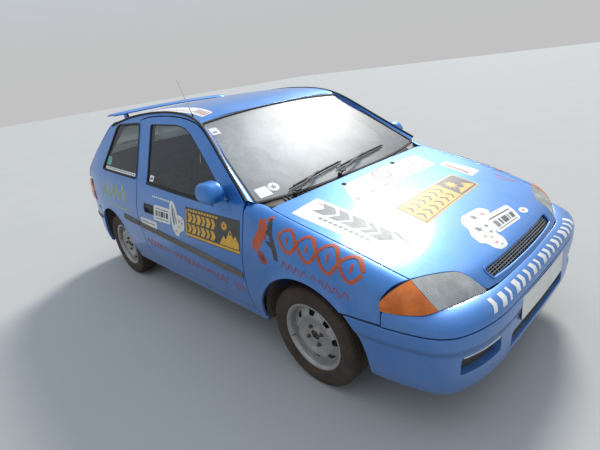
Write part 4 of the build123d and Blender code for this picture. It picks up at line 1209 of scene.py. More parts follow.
def bonnet_outline():
    rear = [(866, 0), (865, 200), (861, 400), (854, 560), (848, 640)]
    edge = [(x, float(PB(x)) - 2.5) for x in np.linspace(852, 1580, 30)]
    bot = [(1788, 405), (1791, 380), (1800, 320), (1807, 220), (1812, 110), (1813, 0)]
    half = cat(rear, edge, [(1584, 649)], [(p[0] - 4, p[1]) for p in LAMP_TOP[2:]], bot)
    half[:, 0] = xu(half[:, 0])
    right = np.stack([half[:, 0], -half[:, 1]], 1)[::-1]
    return cat(half, right[1:-1])


def grille_outline():
    half = cr([(1752, 0), (1751, 120), (1747, 240), (1741, 322), (1741, 342), (1746, 356), (1778, 348), (1784, 338), (1787, 318), (1796, 220), (1801, 110), (1803, 0)], 4)
    half[:, 0] = xu(half[:, 0])
    right = np.stack([half[:, 0], -half[:, 1]], 1)[::-1]
    return cat(half, right[1:-1])


def build_bonnet():
    P = Part()
    out = bonnet_outline()
    gr = grille_outline()
    panel(P, bonnet_s, out, [gr], rim=3.0, depth=16, h=24, back=True, m=0, mb=1, hole_depth=26)
    g = ccw(resample(gr, 14, True))
    Pq, Nq = bonnet_s.pn(g, 0)
    sweep(P, Pq, [(-3, -4), (9, -3), (8, 1.5), (3, 4.5), (-2, 3.5)], Nq, closed=True, limit=60)
    # inner frame ribs
    for s in (-1, 1):
        for line in ([(900, s * 520), (1300, s * 180)], [(1300, s * 180), (1560, s * 470)]):
            q = np.array(resample(line, 40))
            Pq, Nq = bonnet_s.pn(np.stack([xu(q[:, 0]), q[:, 1]], 1), -20)
            sweep(P, Pq, [(-30, -12), (30, -12), (22, 6), (-22, 6)], Nq, m=1)
    make("bonnet_shell", P, ["paint", "paint_inner_shaded"], "bonnet_lid", ["bonnet"])
    W = Part()
    for y in (-230, 230):
        Pq, Nq = bonnet_s.pn(np.array([[930.0, y]]))
        rbox(W, Pq[0] + Nq[0] * 3, (26, 16, 9), 4)
    make("washer_jets", W, ["trim"], "bonnet_lid")
    # egg-crate grille
    G = Part()
    B = bonnet_s.lifted(-11)
    for x, w in [(1751, 318), (1760, 331), (1769, 336), (1778, 333), (1787, 324)]:
        ys = np.linspace(-w, w, 41)
        q = np.stack([xu(x - 8.0 * (ys / 330.0) ** 2 + 2.5), ys], 1)
        Pq, Nq = B.pn(q)
        sweep(G, Pq, [(-2.0, -9), (2.0, -9), (1.5, 2.6), (-1.5, 2.6)], Nq)
    for y in np.arange(-322, 323, 23.0):
        xs = np.linspace(1750, 1797, 7)
        q = np.stack([xu(xs - 8.0 * (y / 330.0) ** 2), np.full(7, y)], 1)
        Pq, Nq = B.pn(q)
        sweep(G, Pq, [(-1.8, -9), (1.8, -9), (1.4, 1.4), (-1.4, 1.4)], Nq)
    make("grille_lattice", G, ["silver"], "bonnet_lid", ["grille"])
    D = Part()
    panel(D, bonnet_s.lifted(-27), grow(gr, -2), rim=0.5, depth=2, h=40)
    make("grille_backing", D, ["rubber"], "bonnet_lid")


# =================================================================== bumper
GP = cr([(1318, 789), (1400, 783.5), (1500, 775), (1584, 763), (1642, 751), (1693, 737), (1735, 719), (1766, 697), (1790, 672),
         (1816, 624), (1845, 542), (1859, 470), (1866.5, 399), (1870, 260), (1872, 130), (1872.4, 0)], 10)
GL = Line(GP[::-1])
TL = Line(cr([(1526, 762), (1600, 737), (1644, 711), (1700, 643), (1739, 547), (1775, 440), (1790, 403), (1800, 330), (1808, 165), (1812, 0)], 8)[::-1])
U_END = GL.length
LG = float(np.interp(-1520, -GP[::-1][:, 0], GL.s))
BIN = pchip([226, 240, 260, 290, 330, 400, 430, 446, 456, 470, 500, 522, 530], [52, 34, 24, 16, 12, 10, 9, 7, 2, 0, 0, 1, 2])


def plan_at(u):
    a = np.abs(u)
    e = 4.0
    p = GL.at_len(np.clip(a, 0, U_END))
    q0, q1 = GL.at_len(np.clip(a - e, 0, U_END)), GL.at_len(np.clip(a + e, 0, U_END))
    t = q1 - q0
    t = t / np.maximum(np.linalg.norm(t, axis=-1), 1e-9)[..., None]
    n = np.stack([t[..., 1], -t[..., 0]], -1)
    s = np.where(u < 0, -1.0, 1.0)
    return np.stack([p[..., 0], p[..., 1] * s], -1), np.stack([n[..., 0], n[..., 1] * s], -1)


def bump_f(u, z):
    p, n = plan_at(u)
    q = p - n * BIN(z)[..., None]
    return np.stack([q[..., 0], q[..., 1], z], -1)


bump_s = Surf(bump_f)


def ledge_f(u, v):
    """v from 0 at the groove to 100 at the edge under the lamps and grille."""
    f = np.clip(np.abs(u) / LG, 0, 1.0)
    g = GL.at_len(np.clip(np.abs(u), 0, U_END))
    t = TL.at(f)
    v = v / 100.0
    z0, zc, z1 = 529.0, 583.0, 597.0
    w = (1 - v) ** 2
    c = g * 0.96 + t * 0.04
    x = g[..., 0] * w + c[..., 0] * 2 * v * (1 - v) + t[..., 0] * v * v
    y = g[..., 1] * w + c[..., 1] * 2 * v * (1 - v) + t[..., 1] * v * v
    z = z0 * w + zc * 2 * v * (1 - v) + z1 * v * v
    return np.stack([x, y * np.where(u < 0, -1.0, 1.0), z], -1)


ledge_s = Surf(ledge_f)


def u_at(y=None, x=None):
    """Distance round the bumper plan, from the centre, at a half-width or at an x."""
    ss = np.linspace(0, U_END, 800)
    g = GL.at_len(ss)
    if y is not None:
        return float(np.interp(y, g[:, 1], ss))
    return float(np.interp(-x, -g[:, 0], ss))


def build_bumper():
    P = Part()
    fx, fz_, fr = ARCHES[0]
    zz = np.linspace(238, 522, 16)
    xe = fx + np.sqrt((fr + 1.0) ** 2 - (zz - fz_) ** 2)
    ue = np.array([u_at(x=x) for x in xe])
    right = np.stack([-ue, zz], 1)[::-1]
    leftp = np.stack([ue, zz], 1)
    bottom = [(u, 238) for u in np.linspace(-ue[0], ue[0], 60)[1:-1]]
    topl = [(u, 522) for u in np.linspace(ue[-1], -ue[-1], 60)[1:-1]]
    intake = rounded([(-334, 300), (334, 300), (322, 372), (-322, 372)], 16)
    uf0, uf1 = u_at(y=428), u_at(y=655)
    fog = rounded([(uf0, 346), (uf1, 338), (uf1 - 6, 418), (uf0, 424)], 14)
    fogr = np.stack([-fog[:, 0], fog[:, 1]], 1)[::-1]
    panel(P, bump_s, cat(right, bottom, leftp, topl), [intake, fog, fogr], rim=3.0, depth=22, h=24, back=True, m=0, mb=1, hole_depth=34)
    # ledge above the groove
    le = LG - 4
    lo = [(u, 0) for u in np.linspace(-le, le, 60)]
    hi = [(u, 100) for u in np.linspace(le, -le, 60)]
    panel(P, ledge_s, cat(lo, hi), rim=2.6, depth=16, h=17, m=0)
    # floor of the groove
    us = np.linspace(-U_END + 6, U_END - 6, 121)
    c, n = plan_at(us)
    n3 = np.stack([n[:, 0], n[:, 1], 0 * us], 1)
    r0, r1 = bump_f(us, np.full(len(us), 519.0)) - n3 * 8, bump_f(us, np.full(len(us), 533.0)) - n3 * 8
    strip(P, [r0, r1], 1, normals=np.vstack([n3, n3]))
    # dark closing strip between the ledge and the bonnet: painted shade, a black sheet that stands for the shade in the
    # gap
    us = np.linspace(-430, 430, 61)
    e0, en = ledge_s.pn(np.stack([us, np.full(61, 96.0)], 1), -4)
    strip(P, [e0 + [-74, 0, -16], e0], 1)
    make("front_bumper_shell", P, ["paint", "trim"], "car_body", ["front_bumper"])
    # recess floors, with slats in the intake
    D = Part()
    back = bump_s.lifted(-34)
    for hole in (intake, fog, fogr):
        panel(D, back, grow(hole, 2), rim=0.5, depth=2, h=30, m=0)
    for z in (318, 336, 354):
        us = np.linspace(-326, 326, 40)
        Pq, Nq = bump_s.pn(np.stack([us, np.full(40, float(z))], 1), -16)
        sweep(D, Pq, [(-3, -8), (3, -8), (3, 3), (-3, 3)], Nq)
    for y in np.arange(-300, 301, 60):
        zs = np.linspace(304, 368, 5)
        Pq, Nq = bump_s.pn(np.stack([np.full(5, float(y)), zs], 1), -18)
        sweep(D, Pq, [(-3, -8), (3, -8), (3, 3), (-3, 3)], Nq)
    make("bumper_recess_floors", D, ["trim"], "car_body")
    C = Part()
    for s in (-1, 1):
        us = np.linspace(uf0 + 8, uf1 - 14, 24) * s
        Pq, Nq = bump_s.pn(np.stack([us, np.full(24, 419.0)], 1), -5)
        sweep(C, Pq, [(-5, -8), (5, -8), (5, 3), (2, 6), (-2, 6), (-5, 3)], Nq)
    make("bumper_bright_strips", C, ["chrome"], "car_body")


# =================================================================== lamps
def on_bonnet(p):
    p = np.array(p, float)
    return np.stack([p[:, 0], p[:, 1], ZB(p[:, 0], p[:, 1])], 1)


def coons(top, bottom, left, right, nu=30, nv=14, dome=0.0, out=(1, 0, 0.4)):
    """A four-sided patch. top and bottom run left to right, left and right run from top to bottom."""
    T, B, L, R = (Line(x) for x in (top, bottom, left, right))
    u, v = np.linspace(0, 1, nu), np.linspace(0, 1, nv)
    tu, bu, lv, rv = T.at(u), B.at(u), L.at(v), R.at(v)
    U, V = np.meshgrid(u, v, indexing="ij")
    U, V = U[..., None], V[..., None]
    P = (1 - V) * tu[:, None] + V * bu[:, None] + (1 - U) * lv[None] + U * rv[None]
    P -= (1 - U) * (1 - V) * tu[0] + U * (1 - V) * tu[-1] + (1 - U) * V * bu[0] + U * V * bu[-1]
    o = np.array(out, float)
    o /= np.linalg.norm(o)
    return P + o * dome * np.sin(U * pi) * np.sin(V * pi)


def patch(part, P, m=0, wall=18.0, facing=(1, 0, 0.3)):
    """A patch with walls going back from its edges."""
    nu, nv = P.shape[:2]
    V = P.reshape(-1, 3)
    a = (np.arange(nu - 1)[:, None] * nv + np.arange(nv - 1)[None]).ravel()
    f = np.stack([a, a + nv, a + nv + 1, a + 1], 1)
    N = smooth_normals(V, [tuple(x) for x in f])
    c = np.mean(N, axis=0)
    if c @ np.array(facing, float) < 0:
        f, N = f[:, ::-1], -N
    part.add(V, N, f, m)
    if wall:
        G = np.arange(nu * nv).reshape(nu, nv)
        loop = np.concatenate([G[:, 0], G[-1, 1:], G[-2::-1, -1], G[0, -2:0:-1]])
        A = V[loop]
        d = -np.array(facing, float)
        d /= np.linalg.norm(d)
        k = len(loop)
        B = A + d * wall
        i = np.arange(k)
        j = (i + 1) % k
        part.add(np.vstack([A, B]), None, np.stack([i, j, k + j, k + i], 1), m)
    return part


def build_lamps():
    H, I, B, S = Part(), Part(), Part(), Part()
    A = np.array([1590.0, -649, 703])
    lt = LAMP_TOP.copy()
    k = int(np.argmin(np.abs(lt[:, 0] - 1745)))
    top = on_bonnet(np.stack([lt[:k + 1, 0], lt[:k + 1, 1]], 1))
    inner = on_bonnet(np.stack([lt[k:, 0], lt[k:, 1]], 1))
    inner = np.vstack([inner, [[1786, 421, 598]]])
    fl = np.array([1, -1, 1])
    top, inner = top * fl, inner * fl
    D = np.array([1702.0, -645, 598])
    C = np.array([1786.0, -421, 598])
    bot = cr([D, (1722, -597, 598), (1741, -545, 598), (1762, -485, 598), C], 6)
    outer = cr([top[0], (1628, -655, 676), (1668, -656, 642), D], 6)
    P = coons(top, bot, outer, inner, 34, 18, dome=9)
    patch(H, P, 0, wall=22)
    # amber lens round the corner
    rt = cr([top[0] + [0, -3, 0], (1578, -694, 697), (1562, -735, 684), (1543, -758, 664), (1524, -770, 640)], 6)
    rb = cr([D + [0, -3, 0], (1690, -672, 598), (1672, -700, 598), (1640, -724, 598), (1604, -744, 598), (1560, -760, 598), (1524, -768, 598)], 6)
    left = cr([rt[0], outer[6] + [-1, -4, 0], outer[12] + [-1, -4, 0], rb[0]], 6)
    right = np.array([rt[-1], (1521, -772, 620), rb[-1]])
    P2 = coons(rt, rb, left, right, 30, 16, dome=7, out=(0.6, -0.8, 0.3))
    patch(I, P2, 0, wall=22, facing=(0.6, -0.8, 0.3))
    # bowls and bulbs behind the lenses
    def bowl(part, c, axis, r, d, m):
        prof = [(r, 0), (r * 0.93, -d * 0.35), (r * 0.75, -d * 0.7), (r * 0.45, -d * 0.93), (0.1, -d)]
        lathe(part, [(a, b) for a, b in prof][::-1], c, axis, 28, m, 60)
    ax = np.array([0.97, -0.12, 0.14])
    for c, r, d in (((1638, -572, 642), 48, 46), ((1692, -482, 628), 34, 36)):
        bowl(B, c, ax, r, d, 0)
        lathe(B, [(0.1, -d * 0.8), (8, -d * 0.8), (8, -12), (6, -7), (0.1, -5)], np.array(c), ax, 16, 0)
    bowl(B, (1606, -700, 640), (0.55, -0.82, 0.15), 40, 38, 0)
    lathe(B, [(0.1, -26), (10, -26), (10, 0), (6, 7), (0.1, 9)], (1606, -700, 640), (0.55, -0.82, 0.15), 14, 1)
    # housing behind: the lens patches moved inwards
    for P_, dvec in ((P, (-46, 10, -14)), (P2, (-26, 34, -8))):
        c = P_.mean((0, 1))
        patch(S, c + (P_ - c) * 0.94 + np.array(dvec, float), 0, wall=0)
        G0 = np.concatenate([P_[:, 0], P_[-1, 1:], P_[-2::-1, -1], P_[0, -2:0:-1], P_[:1, 0]])
        G1 = c + (G0 - c) * 0.94 + np.array(dvec, float)
        strip(S, [G0 - np.array(dvec, float) * -0.12, G1], 0)
    make("headlight_lenses", both(H), ["lens_clear"], "car_body", ["headlights"])
    make("indicator_lenses", both(I), ["lens_amber"], "car_body", ["indicators"])
    make("lamp_bowls", both(B), ["reflector", "lens_amber"], "car_body")
    make("lamp_housings", both(S), ["plastic_grey"], "car_body")


# =================================================================== roof, screen, cowl
def build_top():
    P = Part()
    xs = np.linspace(176, -1094, 60)
    edge = [(x, float(YG(x)) - 4) for x in xs]
    front = [(196, 0), (195, 150), (192, 300), (188, 430), (184, 520), (179, 575)]
    rear = [(-1096, 560), (-1099, 400), (-1101, 200), (-1102, 0)]
    half = cat(front, edge, rear)
    right = np.stack([half[:, 0], -half[:, 1]], 1)[::-1]
    panel(P, roof_s, cat(half, right[1:-1]), rim=2.5, depth=8, h=40)
    make("roof_skin", P, ["paint"], "car_body", ["roof_panel"])
    H = Part()
    half2 = half * [0.985, 0.985]
    right = np.stack([half2[:, 0], -half2[:, 1]], 1)[::-1]
    panel(H, roof_s, cat(half2, right[1:-1]), rim=1.0, depth=3, h=60, lift=-26, back=True)
    make("headliner_board", H, ["headliner"], "car_body")
    # ---- windscreen
    sb = lambda y: 4 + 68 * (np.abs(y) / 716.0) ** 2.6
    st = lambda y: 768 - 24 * (np.abs(y) / 585.0) ** 2.2
    ys = np.linspace(-716, 716, 50)
    bottom = [(y, float(sb(y))) for y in ys]
    topl = [(y, float(st(y))) for y in np.linspace(583, -583, 40)]
    glass = rounded(cat(bottom, topl), 16, 4, 30)
    G = Part()
    panel(G, ws_s, grow(glass, -1), rim=0.8, depth=5, h=50, lift=-4)
    make("windscreen_pane", G, ["glass"], "car_body", ["windscreen"])
    R = Part()
    pts = ccw(resample(glass, 18, True))
    Pq, Nq = ws_s.pn(pts, -3)
    sweep(R, Pq, [(-9, -8), (8, -6), (8, 2), (5, 5), (-6, 5), (-9, 1)], Nq, closed=True)
    # dark fired band inside the glass edge
    panel(R, ws_s, grow(glass, -2), [grow(glass, -26)], rim=0.3, depth=0.5, h=40, lift=-9.5)
    make("windscreen_seal", R, ["rubber"], "car_body")
    # ---- pillar strips and the header
    A = Part()
    sgl = np.linspace(0.0, 1.0, 40)
    ybot, ytop = 716.0, 583.0
    ge = np.stack([-(ybot + (ytop - ybot) * sgl), sb(716.0) + (st(583.0) - sb(716.0)) * sgl], 1)
    P0, N0 = ws_s.pn(ge, -2)
    gl = Line(GUT[:int(np.argmin(np.abs(GUT[:, 0] - 195))) + 1])
    og = gl.at(0.02 + 0.98 * sgl)
    P1, N1 = side.pn(og, -1)
    C = (P0 + P1) / 2 + (N0 + N1) * 6
    rows = [P0 * (1 - t) ** 2 + C * 2 * t * (1 - t) + P1 * t * t for t in np.linspace(0, 1, 6)]
    strip(A, rows[::-1], 0)
    strip(A, [P0 - N0 * 40, P0], 0)
    Ab = both(A)
    # header between the glass and the roof skin
    ys = np.linspace(-583, 583, 41)
    Q0, M0 = ws_s.pn(np.stack([ys, st(ys)], 1), -2)
    fx = np.interp(np.abs(ys), [0, 150, 300, 430, 520, 575], [196, 195, 192, 188, 184, 179])
    Q1, M1 = roof_s.pn(np.stack([fx - 3, ys], 1), -0.5)
    strip(Ab, [Q0, (Q0 + Q1) / 2 + M0 * 0.8, Q1], 0)
    make("pillar_and_header_strips", Ab, ["paint"], "car_body")
    # ---- cowl
    K = Part()
    ys = np.linspace(-712, 712, 60)
    xr = np.interp(np.abs(ys), [0, 200, 400, 560, 640, 712], [872, 871, 867, 860, 854, 800])
    E0 = np.stack([xr, ys, ZB(xr, np.minimum(np.abs(ys), 690)) - 16], 1)
    g2 = np.stack([ys, sb(ys)], 1)
    E1, _ = ws_s.pn(g2, -2)
    mid = (E0 + E1) / 2 + [0, 0, -6]
    strip(K, [E0 + [6, 0, -20], E0, mid, E1, E1 + [-12, 0, -30]], 0)
    for y in np.arange(-560, 561, 14.0):
        if abs(abs(y) - 330) < 28:
            continue
        i = int(np.argmin(np.abs(ys - y)))
        a, b = E0[i] + [-3, 0, 1], E1[i] + [3, 0, -3]
        sweep(K, np.linspace(a, b, 4), [(-2.2, -3), (2.2, -3), (1.6, 2), (-1.6, 2)], np.array([0.2, 0, 1.0]))
    make("cowl_grille", K, ["trim"], "car_body", ["cowl_panel"])
    # ---- wipers
    W = Part()
    def og_(y, s, h):
        return ws_p(np.array([float(y)]), np.array([float(s)]), -float(h))[0]
    for pv, a, b in ((-500, (-500, 62), (-40, 104)), (-150, (-120, 66), (400, 112))):
        foot = og_(pv, 15, 17)
        mid = og_((a[0] + b[0]) / 2, (a[1] + b[1]) / 2, 26)
        t = np.linspace(0, 1, 16)
        arm = np.array([foot + (mid - foot) * x + np.array([0.3, 0, 0.9]) * 10 * math.sin(x * pi) for x in t])
        sec = [(-6, -3), (6, -3), (5, 2.5), (-5, 2.5)]
        nrm = np.array([math.sin(WT), 0, math.cos(WT)])
        sweep(W, arm, sec, nrm)
        lathe(W, [(0.1, 8), (8, 7.5), (12, 4), (13, -14)][::-1], foot, (0.35, 0, 0.94), 20)
        rbox(W, foot + (arm[2] - foot) * 0.7 + [0, 0, 1], (20, 40, 11), 4)
        bl = [og_(a[0] + (b[0] - a[0]) * x, a[1] + (b[1] - a[1]) * x, 4) for x in np.linspace(0, 1, 24)]
        sweep(W, bl, [(-2.5, -3), (2.5, -3), (1.2, 5), (-1.2, 5)], nrm)
        brd = [og_(a[0] + (b[0] - a[0]) * x, a[1] + (b[1] - a[1]) * x, 12 + 5 * math.sin(x * pi)) for x in np.linspace(0.06, 0.94, 24)]
        sweep(W, brd, [(-3, -2.5), (3, -2.5), (2.4, 2.5), (-2.4, 2.5)], nrm)
        for x in (0.08, 0.30, 0.5, 0.70, 0.92):
            q0 = og_(a[0] + (b[0] - a[0]) * x, a[1] + (b[1] - a[1]) * x, 5)
            q1 = og_(a[0] + (b[0] - a[0]) * x, a[1] + (b[1] - a[1]) * x, 13 + 4 * math.sin(x * pi))
            rbox(W, (q0 + q1) / 2, (7, 9, 14), 2)
    make("wiper_arms_and_blades", W, ["trim"], "car_body", ["wipers"])
    # ---- aerial
    T = Part()
    lathe(T, [(11, 0), (11, 5), (9, 14), (6, 26), (4.5, 38), (0.1, 39)], (104, -570, 1304), (-0.2, 0, 1), 20)
    make("antenna_base", T, ["rubber"], "car_body", ["antenna"])
    T = Part()
    tube(T, np.linspace((98, -570, 1330), (8, -572, 1534), 12), np.linspace(2.9, 1.7, 12), 10)
    lathe(T, [(0.1, -4), (3.4, -3), (3.4, 2), (0.1, 4)], (8, -572, 1532), (-0.4, 0, 0.9), 12)
    make("antenna_mast", T, ["chrome"], "car_body")


# =================================================================== tail
def build_tail():
    P = Part()
    e1 = ts(z=616)
    s984, s858 = ts(z=985), ts(z=858)
    ss = np.linspace(4, s858, 26)
    hw = pchip([0, 50, 90, s984, s858], [535, 541, 545, 624, 638])
    half = cat([(0, 4)], [(float(hw(4)), 4)], [(float(hw(s)), s) for s in ss[1:]], [(600, s858 + 8), (432, s858 + 14), (427, e1), (0, e1)])
    half = rounded(half[1:-1], 10, 3, 35)
    half = cat([(0, 4)], half, [(0, e1)])
    left = np.stack([-half[:, 0], half[:, 1]], 1)[::-1]
    out = cat(half, left[1:-1])
    s1272, s1016 = ts(z=1266), ts(z=1020)
    gl = rounded([(-474, s1272), (474, s1272), (552, s1016), (-552, s1016)], [30, 30, 40, 40], 5)
    panel(P, tail_s, out, [gl], rim=3.0, depth=24, h=34, back=True, m=0, mb=1, hole_depth=10)
    make("tailgate_shell", P, ["paint", "paint_inner_shaded"], "tailgate_lid", ["tailgate"])
    G = Part()
    panel(G, tail_s, grow(gl, 4), rim=0.6, depth=4, h=60, lift=-5)
    make("tailgate_pane", G, ["glass_side"], "tailgate_lid", ["tailgate_glass"])
    R = Part()
    pts = ccw(resample(gl, 18, True))
    Pq, Nq = tail_s.pn(pts, 0)
    sweep(R, Pq, [(-10, -6), (8, -6), (8, 0), (3, 4), (-6, 4), (-10, 0)], Nq, closed=True)
    # rear wiper
    piv = tail_s.pn(np.array([[0.0, s1016 + 26]]), 4)[0][0]
    a0, n0 = tail_s.pn(np.array([[0.0, s1016 + 26], [-120.0, s1016 - 40], [-250.0, s1016 - 96]]), 22)
    lathe(R, [(16, -4), (16, 10), (10, 18), (0.1, 19)], piv, n0[0], 20)
    sweep(R, resample(a0, 20), [(-6, -3), (6, -3), (5, 3), (-5, 3)], n0[1])
    bl, bn = tail_s.pn(np.stack([np.linspace(-60, -430, 20), np.linspace(s1016 - 78, s1016 - 108, 20)], 1), 8)
    sweep(R, bl, [(-3, -5), (3, -5), (2, 8), (-2, 8)], bn)
    # handle above the plate
    for y, w in ((0, 130),):
        q, n_ = tail_s.pn(np.array([[0.0, ts(z=800)]]), 6)
        rbox(R, q[0], (22, 150, 34), 8)
    make("tailgate_trim", R, ["rubber"], "tailgate_lid")
    # plate
    Q = Part()
    U, V = np.array([0.0, -1.0, 0.0]), np.array([38.0, 0, 160.0]) / math.hypot(38, 160)
    N_ = np.cross(U, V)
    o = np.array([-1741.0, 0, 680.0]) + N_ * 9
    pl = rounded([(-260, -55), (260, -55), (260, 55), (-260, 55)], 9)
    panel(Q, flat(o, U, V), pl, rim=1.0, depth=4, h=60)
    make("rear_plate_blank", Q, ["plate_yellow"], "tailgate_lid", ["rear_plate"])
    # spoiler
    S = Part()
    ys = np.linspace(548, -548, 45)
    sec = cr([(-1136, 1350), (-1158, 1362), (-1210, 1367), (-1290, 1362), (-1340, 1350), (-1346, 1345), (-1336, 1340), (-1270, 1344), (-1190, 1344), (-1150, 1343)], 4, True)
    rows = []
    for y in ys:
        f = abs(y) / 548.0
        k = 1 - 0.25 * max(0, (f - 0.86) / 0.14) ** 2
        c = np.array([-1240.0, 1352.0])
        q = c + (sec - c) * [k, k]
        rows.append(np.stack([q[:, 0] + 10 * f ** 2, np.full(len(q), y), q[:, 1] - 12 * f ** 2.2 + 4], 1))
    strip(S, rows, 0, closed=True)
    for k, sgn in ((0, 1), (-1, -1)):
        f = tuple(range(len(sec)))
        S.add(rows[k], np.tile([0, 1.0 * sgn, 0], (len(sec), 1)), [f[::-1] if sgn > 0 else f], 0)
    for y in (-420.0, 420.0):
        pts = np.array([(-1226, y, 1280), (-1232, y, 1300), (-1238, y, 1322), (-1244, y, 1346)], float)
        rws = []
        for i, p in enumerate(pts):
            w = 46 - 3 * i
            h = 15 - 1.5 * i
            t = np.arange(20) * 2 * pi / 20
            rws.append(np.stack([p[0] + w * np.sign(np.cos(t)) * np.abs(np.cos(t)) ** 0.7, p[1] + h * np.sign(np.sin(t)) * np.abs(np.sin(t)) ** 0.7, np.full(20, p[2])], 1))
        strip(S, rws, 0, closed=True)
    make("spoiler_blade", S, ["paint"], "tailgate_lid", ["spoiler"])


def tail_section(z, x0, y1, n=26, lift=0.0):
    """From the side at x0, round the corner, to the rear face at half-width y1 (right side)."""
    s = ts(z=z)
    xs = float(tail_f(np.array([640.0]), np.array([s]))[0, 0]) + 56
    a = np.array([[x, -float(YS(np.array([x]), np.array([z]))[0]), z] for x in np.linspace(x0, xs, 9)])
    r = tail_f(-np.linspace(652, y1, 12), np.full(12, s))
    c = np.array([r[0, 0] - 2, a[-1, 1] + 5, z])
    t = np.linspace(0, 1, 11)[1:-1, None]
    b = a[-1] * (1 - t) ** 2 + c * 2 * t * (1 - t) + r[0] * t * t
    p = Line(np.vstack([a, b, r])).at(np.linspace(0, 1, n))
    if lift:
        tt = np.gradient(p, axis=0)
        nn = np.stack([tt[:, 1], -tt[:, 0], 0 * tt[:, 0]], 1)
        nn /= np.linalg.norm(nn, axis=1)[:, None]
        if nn[-1, 0] > 0:
            nn = -nn
        p = p + nn * lift
    return p


def build_rear():
    L = Part()
    zs = np.linspace(642, 833, 14)
    rows = []
    for z in zs:
        e = min(z - 642, 833 - z)
        rows.append(tail_section(z, -1551, 448, 40, lift=1.5 + 5 * min(1, e / 14)))
    rows = np.array(rows)
    P = rows.transpose(1, 0, 2)
    # three bands: red, amber-grey, red
    zi = [0, 6, 9, 13]
    for k, (a, b) in enumerate(zip(zi, zi[1:])):
        patch(L, P[:, a:b + 1], (0, 1, 0)[k], wall=26, facing=(-1, -0.55, 0))
    make("tail_lamp_lenses", both(L), ["lens_red", "lens_amber"], "car_body", ["tail_lamps"])
    Bk = Part()
    rb = np.array([tail_section(z, -1560, 460, 30, lift=-26) for z in (646, 740, 829)]).transpose(1, 0, 2)
    patch(Bk, rb, 0, wall=0, facing=(-1, -0.55, 0))
    make("tail_lamp_backs", both(Bk), ["reflector"], "car_body")
    # panel under the tailgate and lamps, down behind the bumper
    R = Part()
    rr = np.array([tail_section(z, -1548, 0.0, 60, lift=-4) for z in (560, 576, 593, 610)]).transpose(1, 0, 2)
    patch(R, rr, 0, wall=0, facing=(-1, -0.5, 0))
    rr = np.array([tail_section(z, -1548, 440.0, 40, lift=-4) for z in (610, 623, 636)]).transpose(1, 0, 2)
    patch(R, rr, 0, wall=0, facing=(-1, -0.5, 0))
    inner = np.array([tail_section(z, -1548, 432.0, 40, lift=-30) for z in (600, 720, 852)]).transpose(1, 0, 2)
    patch(R, inner, 0, wall=0, facing=(-1, -0.5, 0))
    make("rear_panel_skin", both(R), ["paint"], "car_body", ["rear_panel"])
    # bumper
    B = Part()
    g = cr([(-1440, 777), (-1520, 770), (-1600, 758), (-1680, 738), (-1740, 712), (-1790, 665), (-1822, 610), (-1842, 545), (-1860, 400), (-1868, 250), (-1872, 120), (-1872.4, 0)], 10)
    RL = Line(g[::-1])
    ins = pchip([226, 244, 270, 310, 360, 452, 470, 520, 560, 580, 592, 600], [46, 30, 18, 9, 4, 1, 0, 0, 3, 8, 16, 30])

    def rf(u, z):
        a = np.abs(u)
        p = RL.at_len(np.clip(a, 0, RL.length))
        q0, q1 = RL.at_len(np.clip(a - 5, 0, RL.length)), RL.at_len(np.clip(a + 5, 0, RL.length))
        t = q1 - q0
        t /= np.maximum(np.linalg.norm(t, axis=-1), 1e-9)[..., None]
        n = np.stack([-t[..., 1], t[..., 0]], -1)
        q = p - n * ins(z)[..., None]
        return np.stack([q[..., 0], q[..., 1] * np.where(u < 0, -1.0, 1.0), z], -1)
    rs = Surf(rf, -1)
    ax, az, ar = ARCHES[1]

    def ua(x):
        return float(np.interp(x, g[::-1][:, 0], RL.s))
    zz = np.linspace(242, 598, 18)
    xe = [min(-1446.0, ax - math.sqrt(max(ar ** 2 - (z - az) ** 2, 0)) - 1) if z < 500 else -1446.0 for z in zz]
    ue = np.array([ua(x) for x in xe])
    out = cat(np.stack([ue, zz], 1), [(u, 598) for u in np.linspace(ue[-1], -ue[-1], 60)[1:-1]], np.stack([-ue, zz], 1)[::-1],
              [(u, 242) for u in np.linspace(-ue[0], ue[0], 60)[1:-1]])
    panel(B, rs, out, rim=3, depth=20, h=28, back=True, m=0, mb=1)
    # ledge from the bumper's top edge in to the panel behind it
    ul = np.linspace(ue[-1], 0, 60)
    rim_, _ = rs.pn(np.stack([ul, np.full(60, 598.0)], 1), -1)
    rim_ = rim_ * [1, -np.sign(rim_[0, 1]), 1]
    back_ = tail_section(596.0, -1448, 0.0, 60, lift=-14)
    t_ = np.linspace(0, 1, 5)[:, None, None]
    led = rim_[None] * (1 - t_) + back_[None] * t_
    led[..., 2] -= 1.5 + 3.0 * np.sin(np.linspace(0, pi, 5))[:, None]
    patch(B, led, 0, wall=0, facing=(0, 0, 1))
    patch(B, (led * [1, -1, 1])[:, ::-1], 0, wall=0, facing=(0, 0, 1))
    make("rear_bumper_shell", B, ["paint", "trim"], "car_body", ["rear_bumper"])
    C = Part()
    us = np.linspace(-ue[10] + 20, ue[10] - 20, 90)
    Pq, Nq = rs.pn(np.stack([us, np.full(90, 498.0)], 1), 0)
    sweep(C, Pq, [(-16, -4), (16, -4), (15, 3), (9, 7), (-9, 7), (-15, 3)], Nq)
    make("rear_bumper_moulding", C, ["moulding"], "car_body")


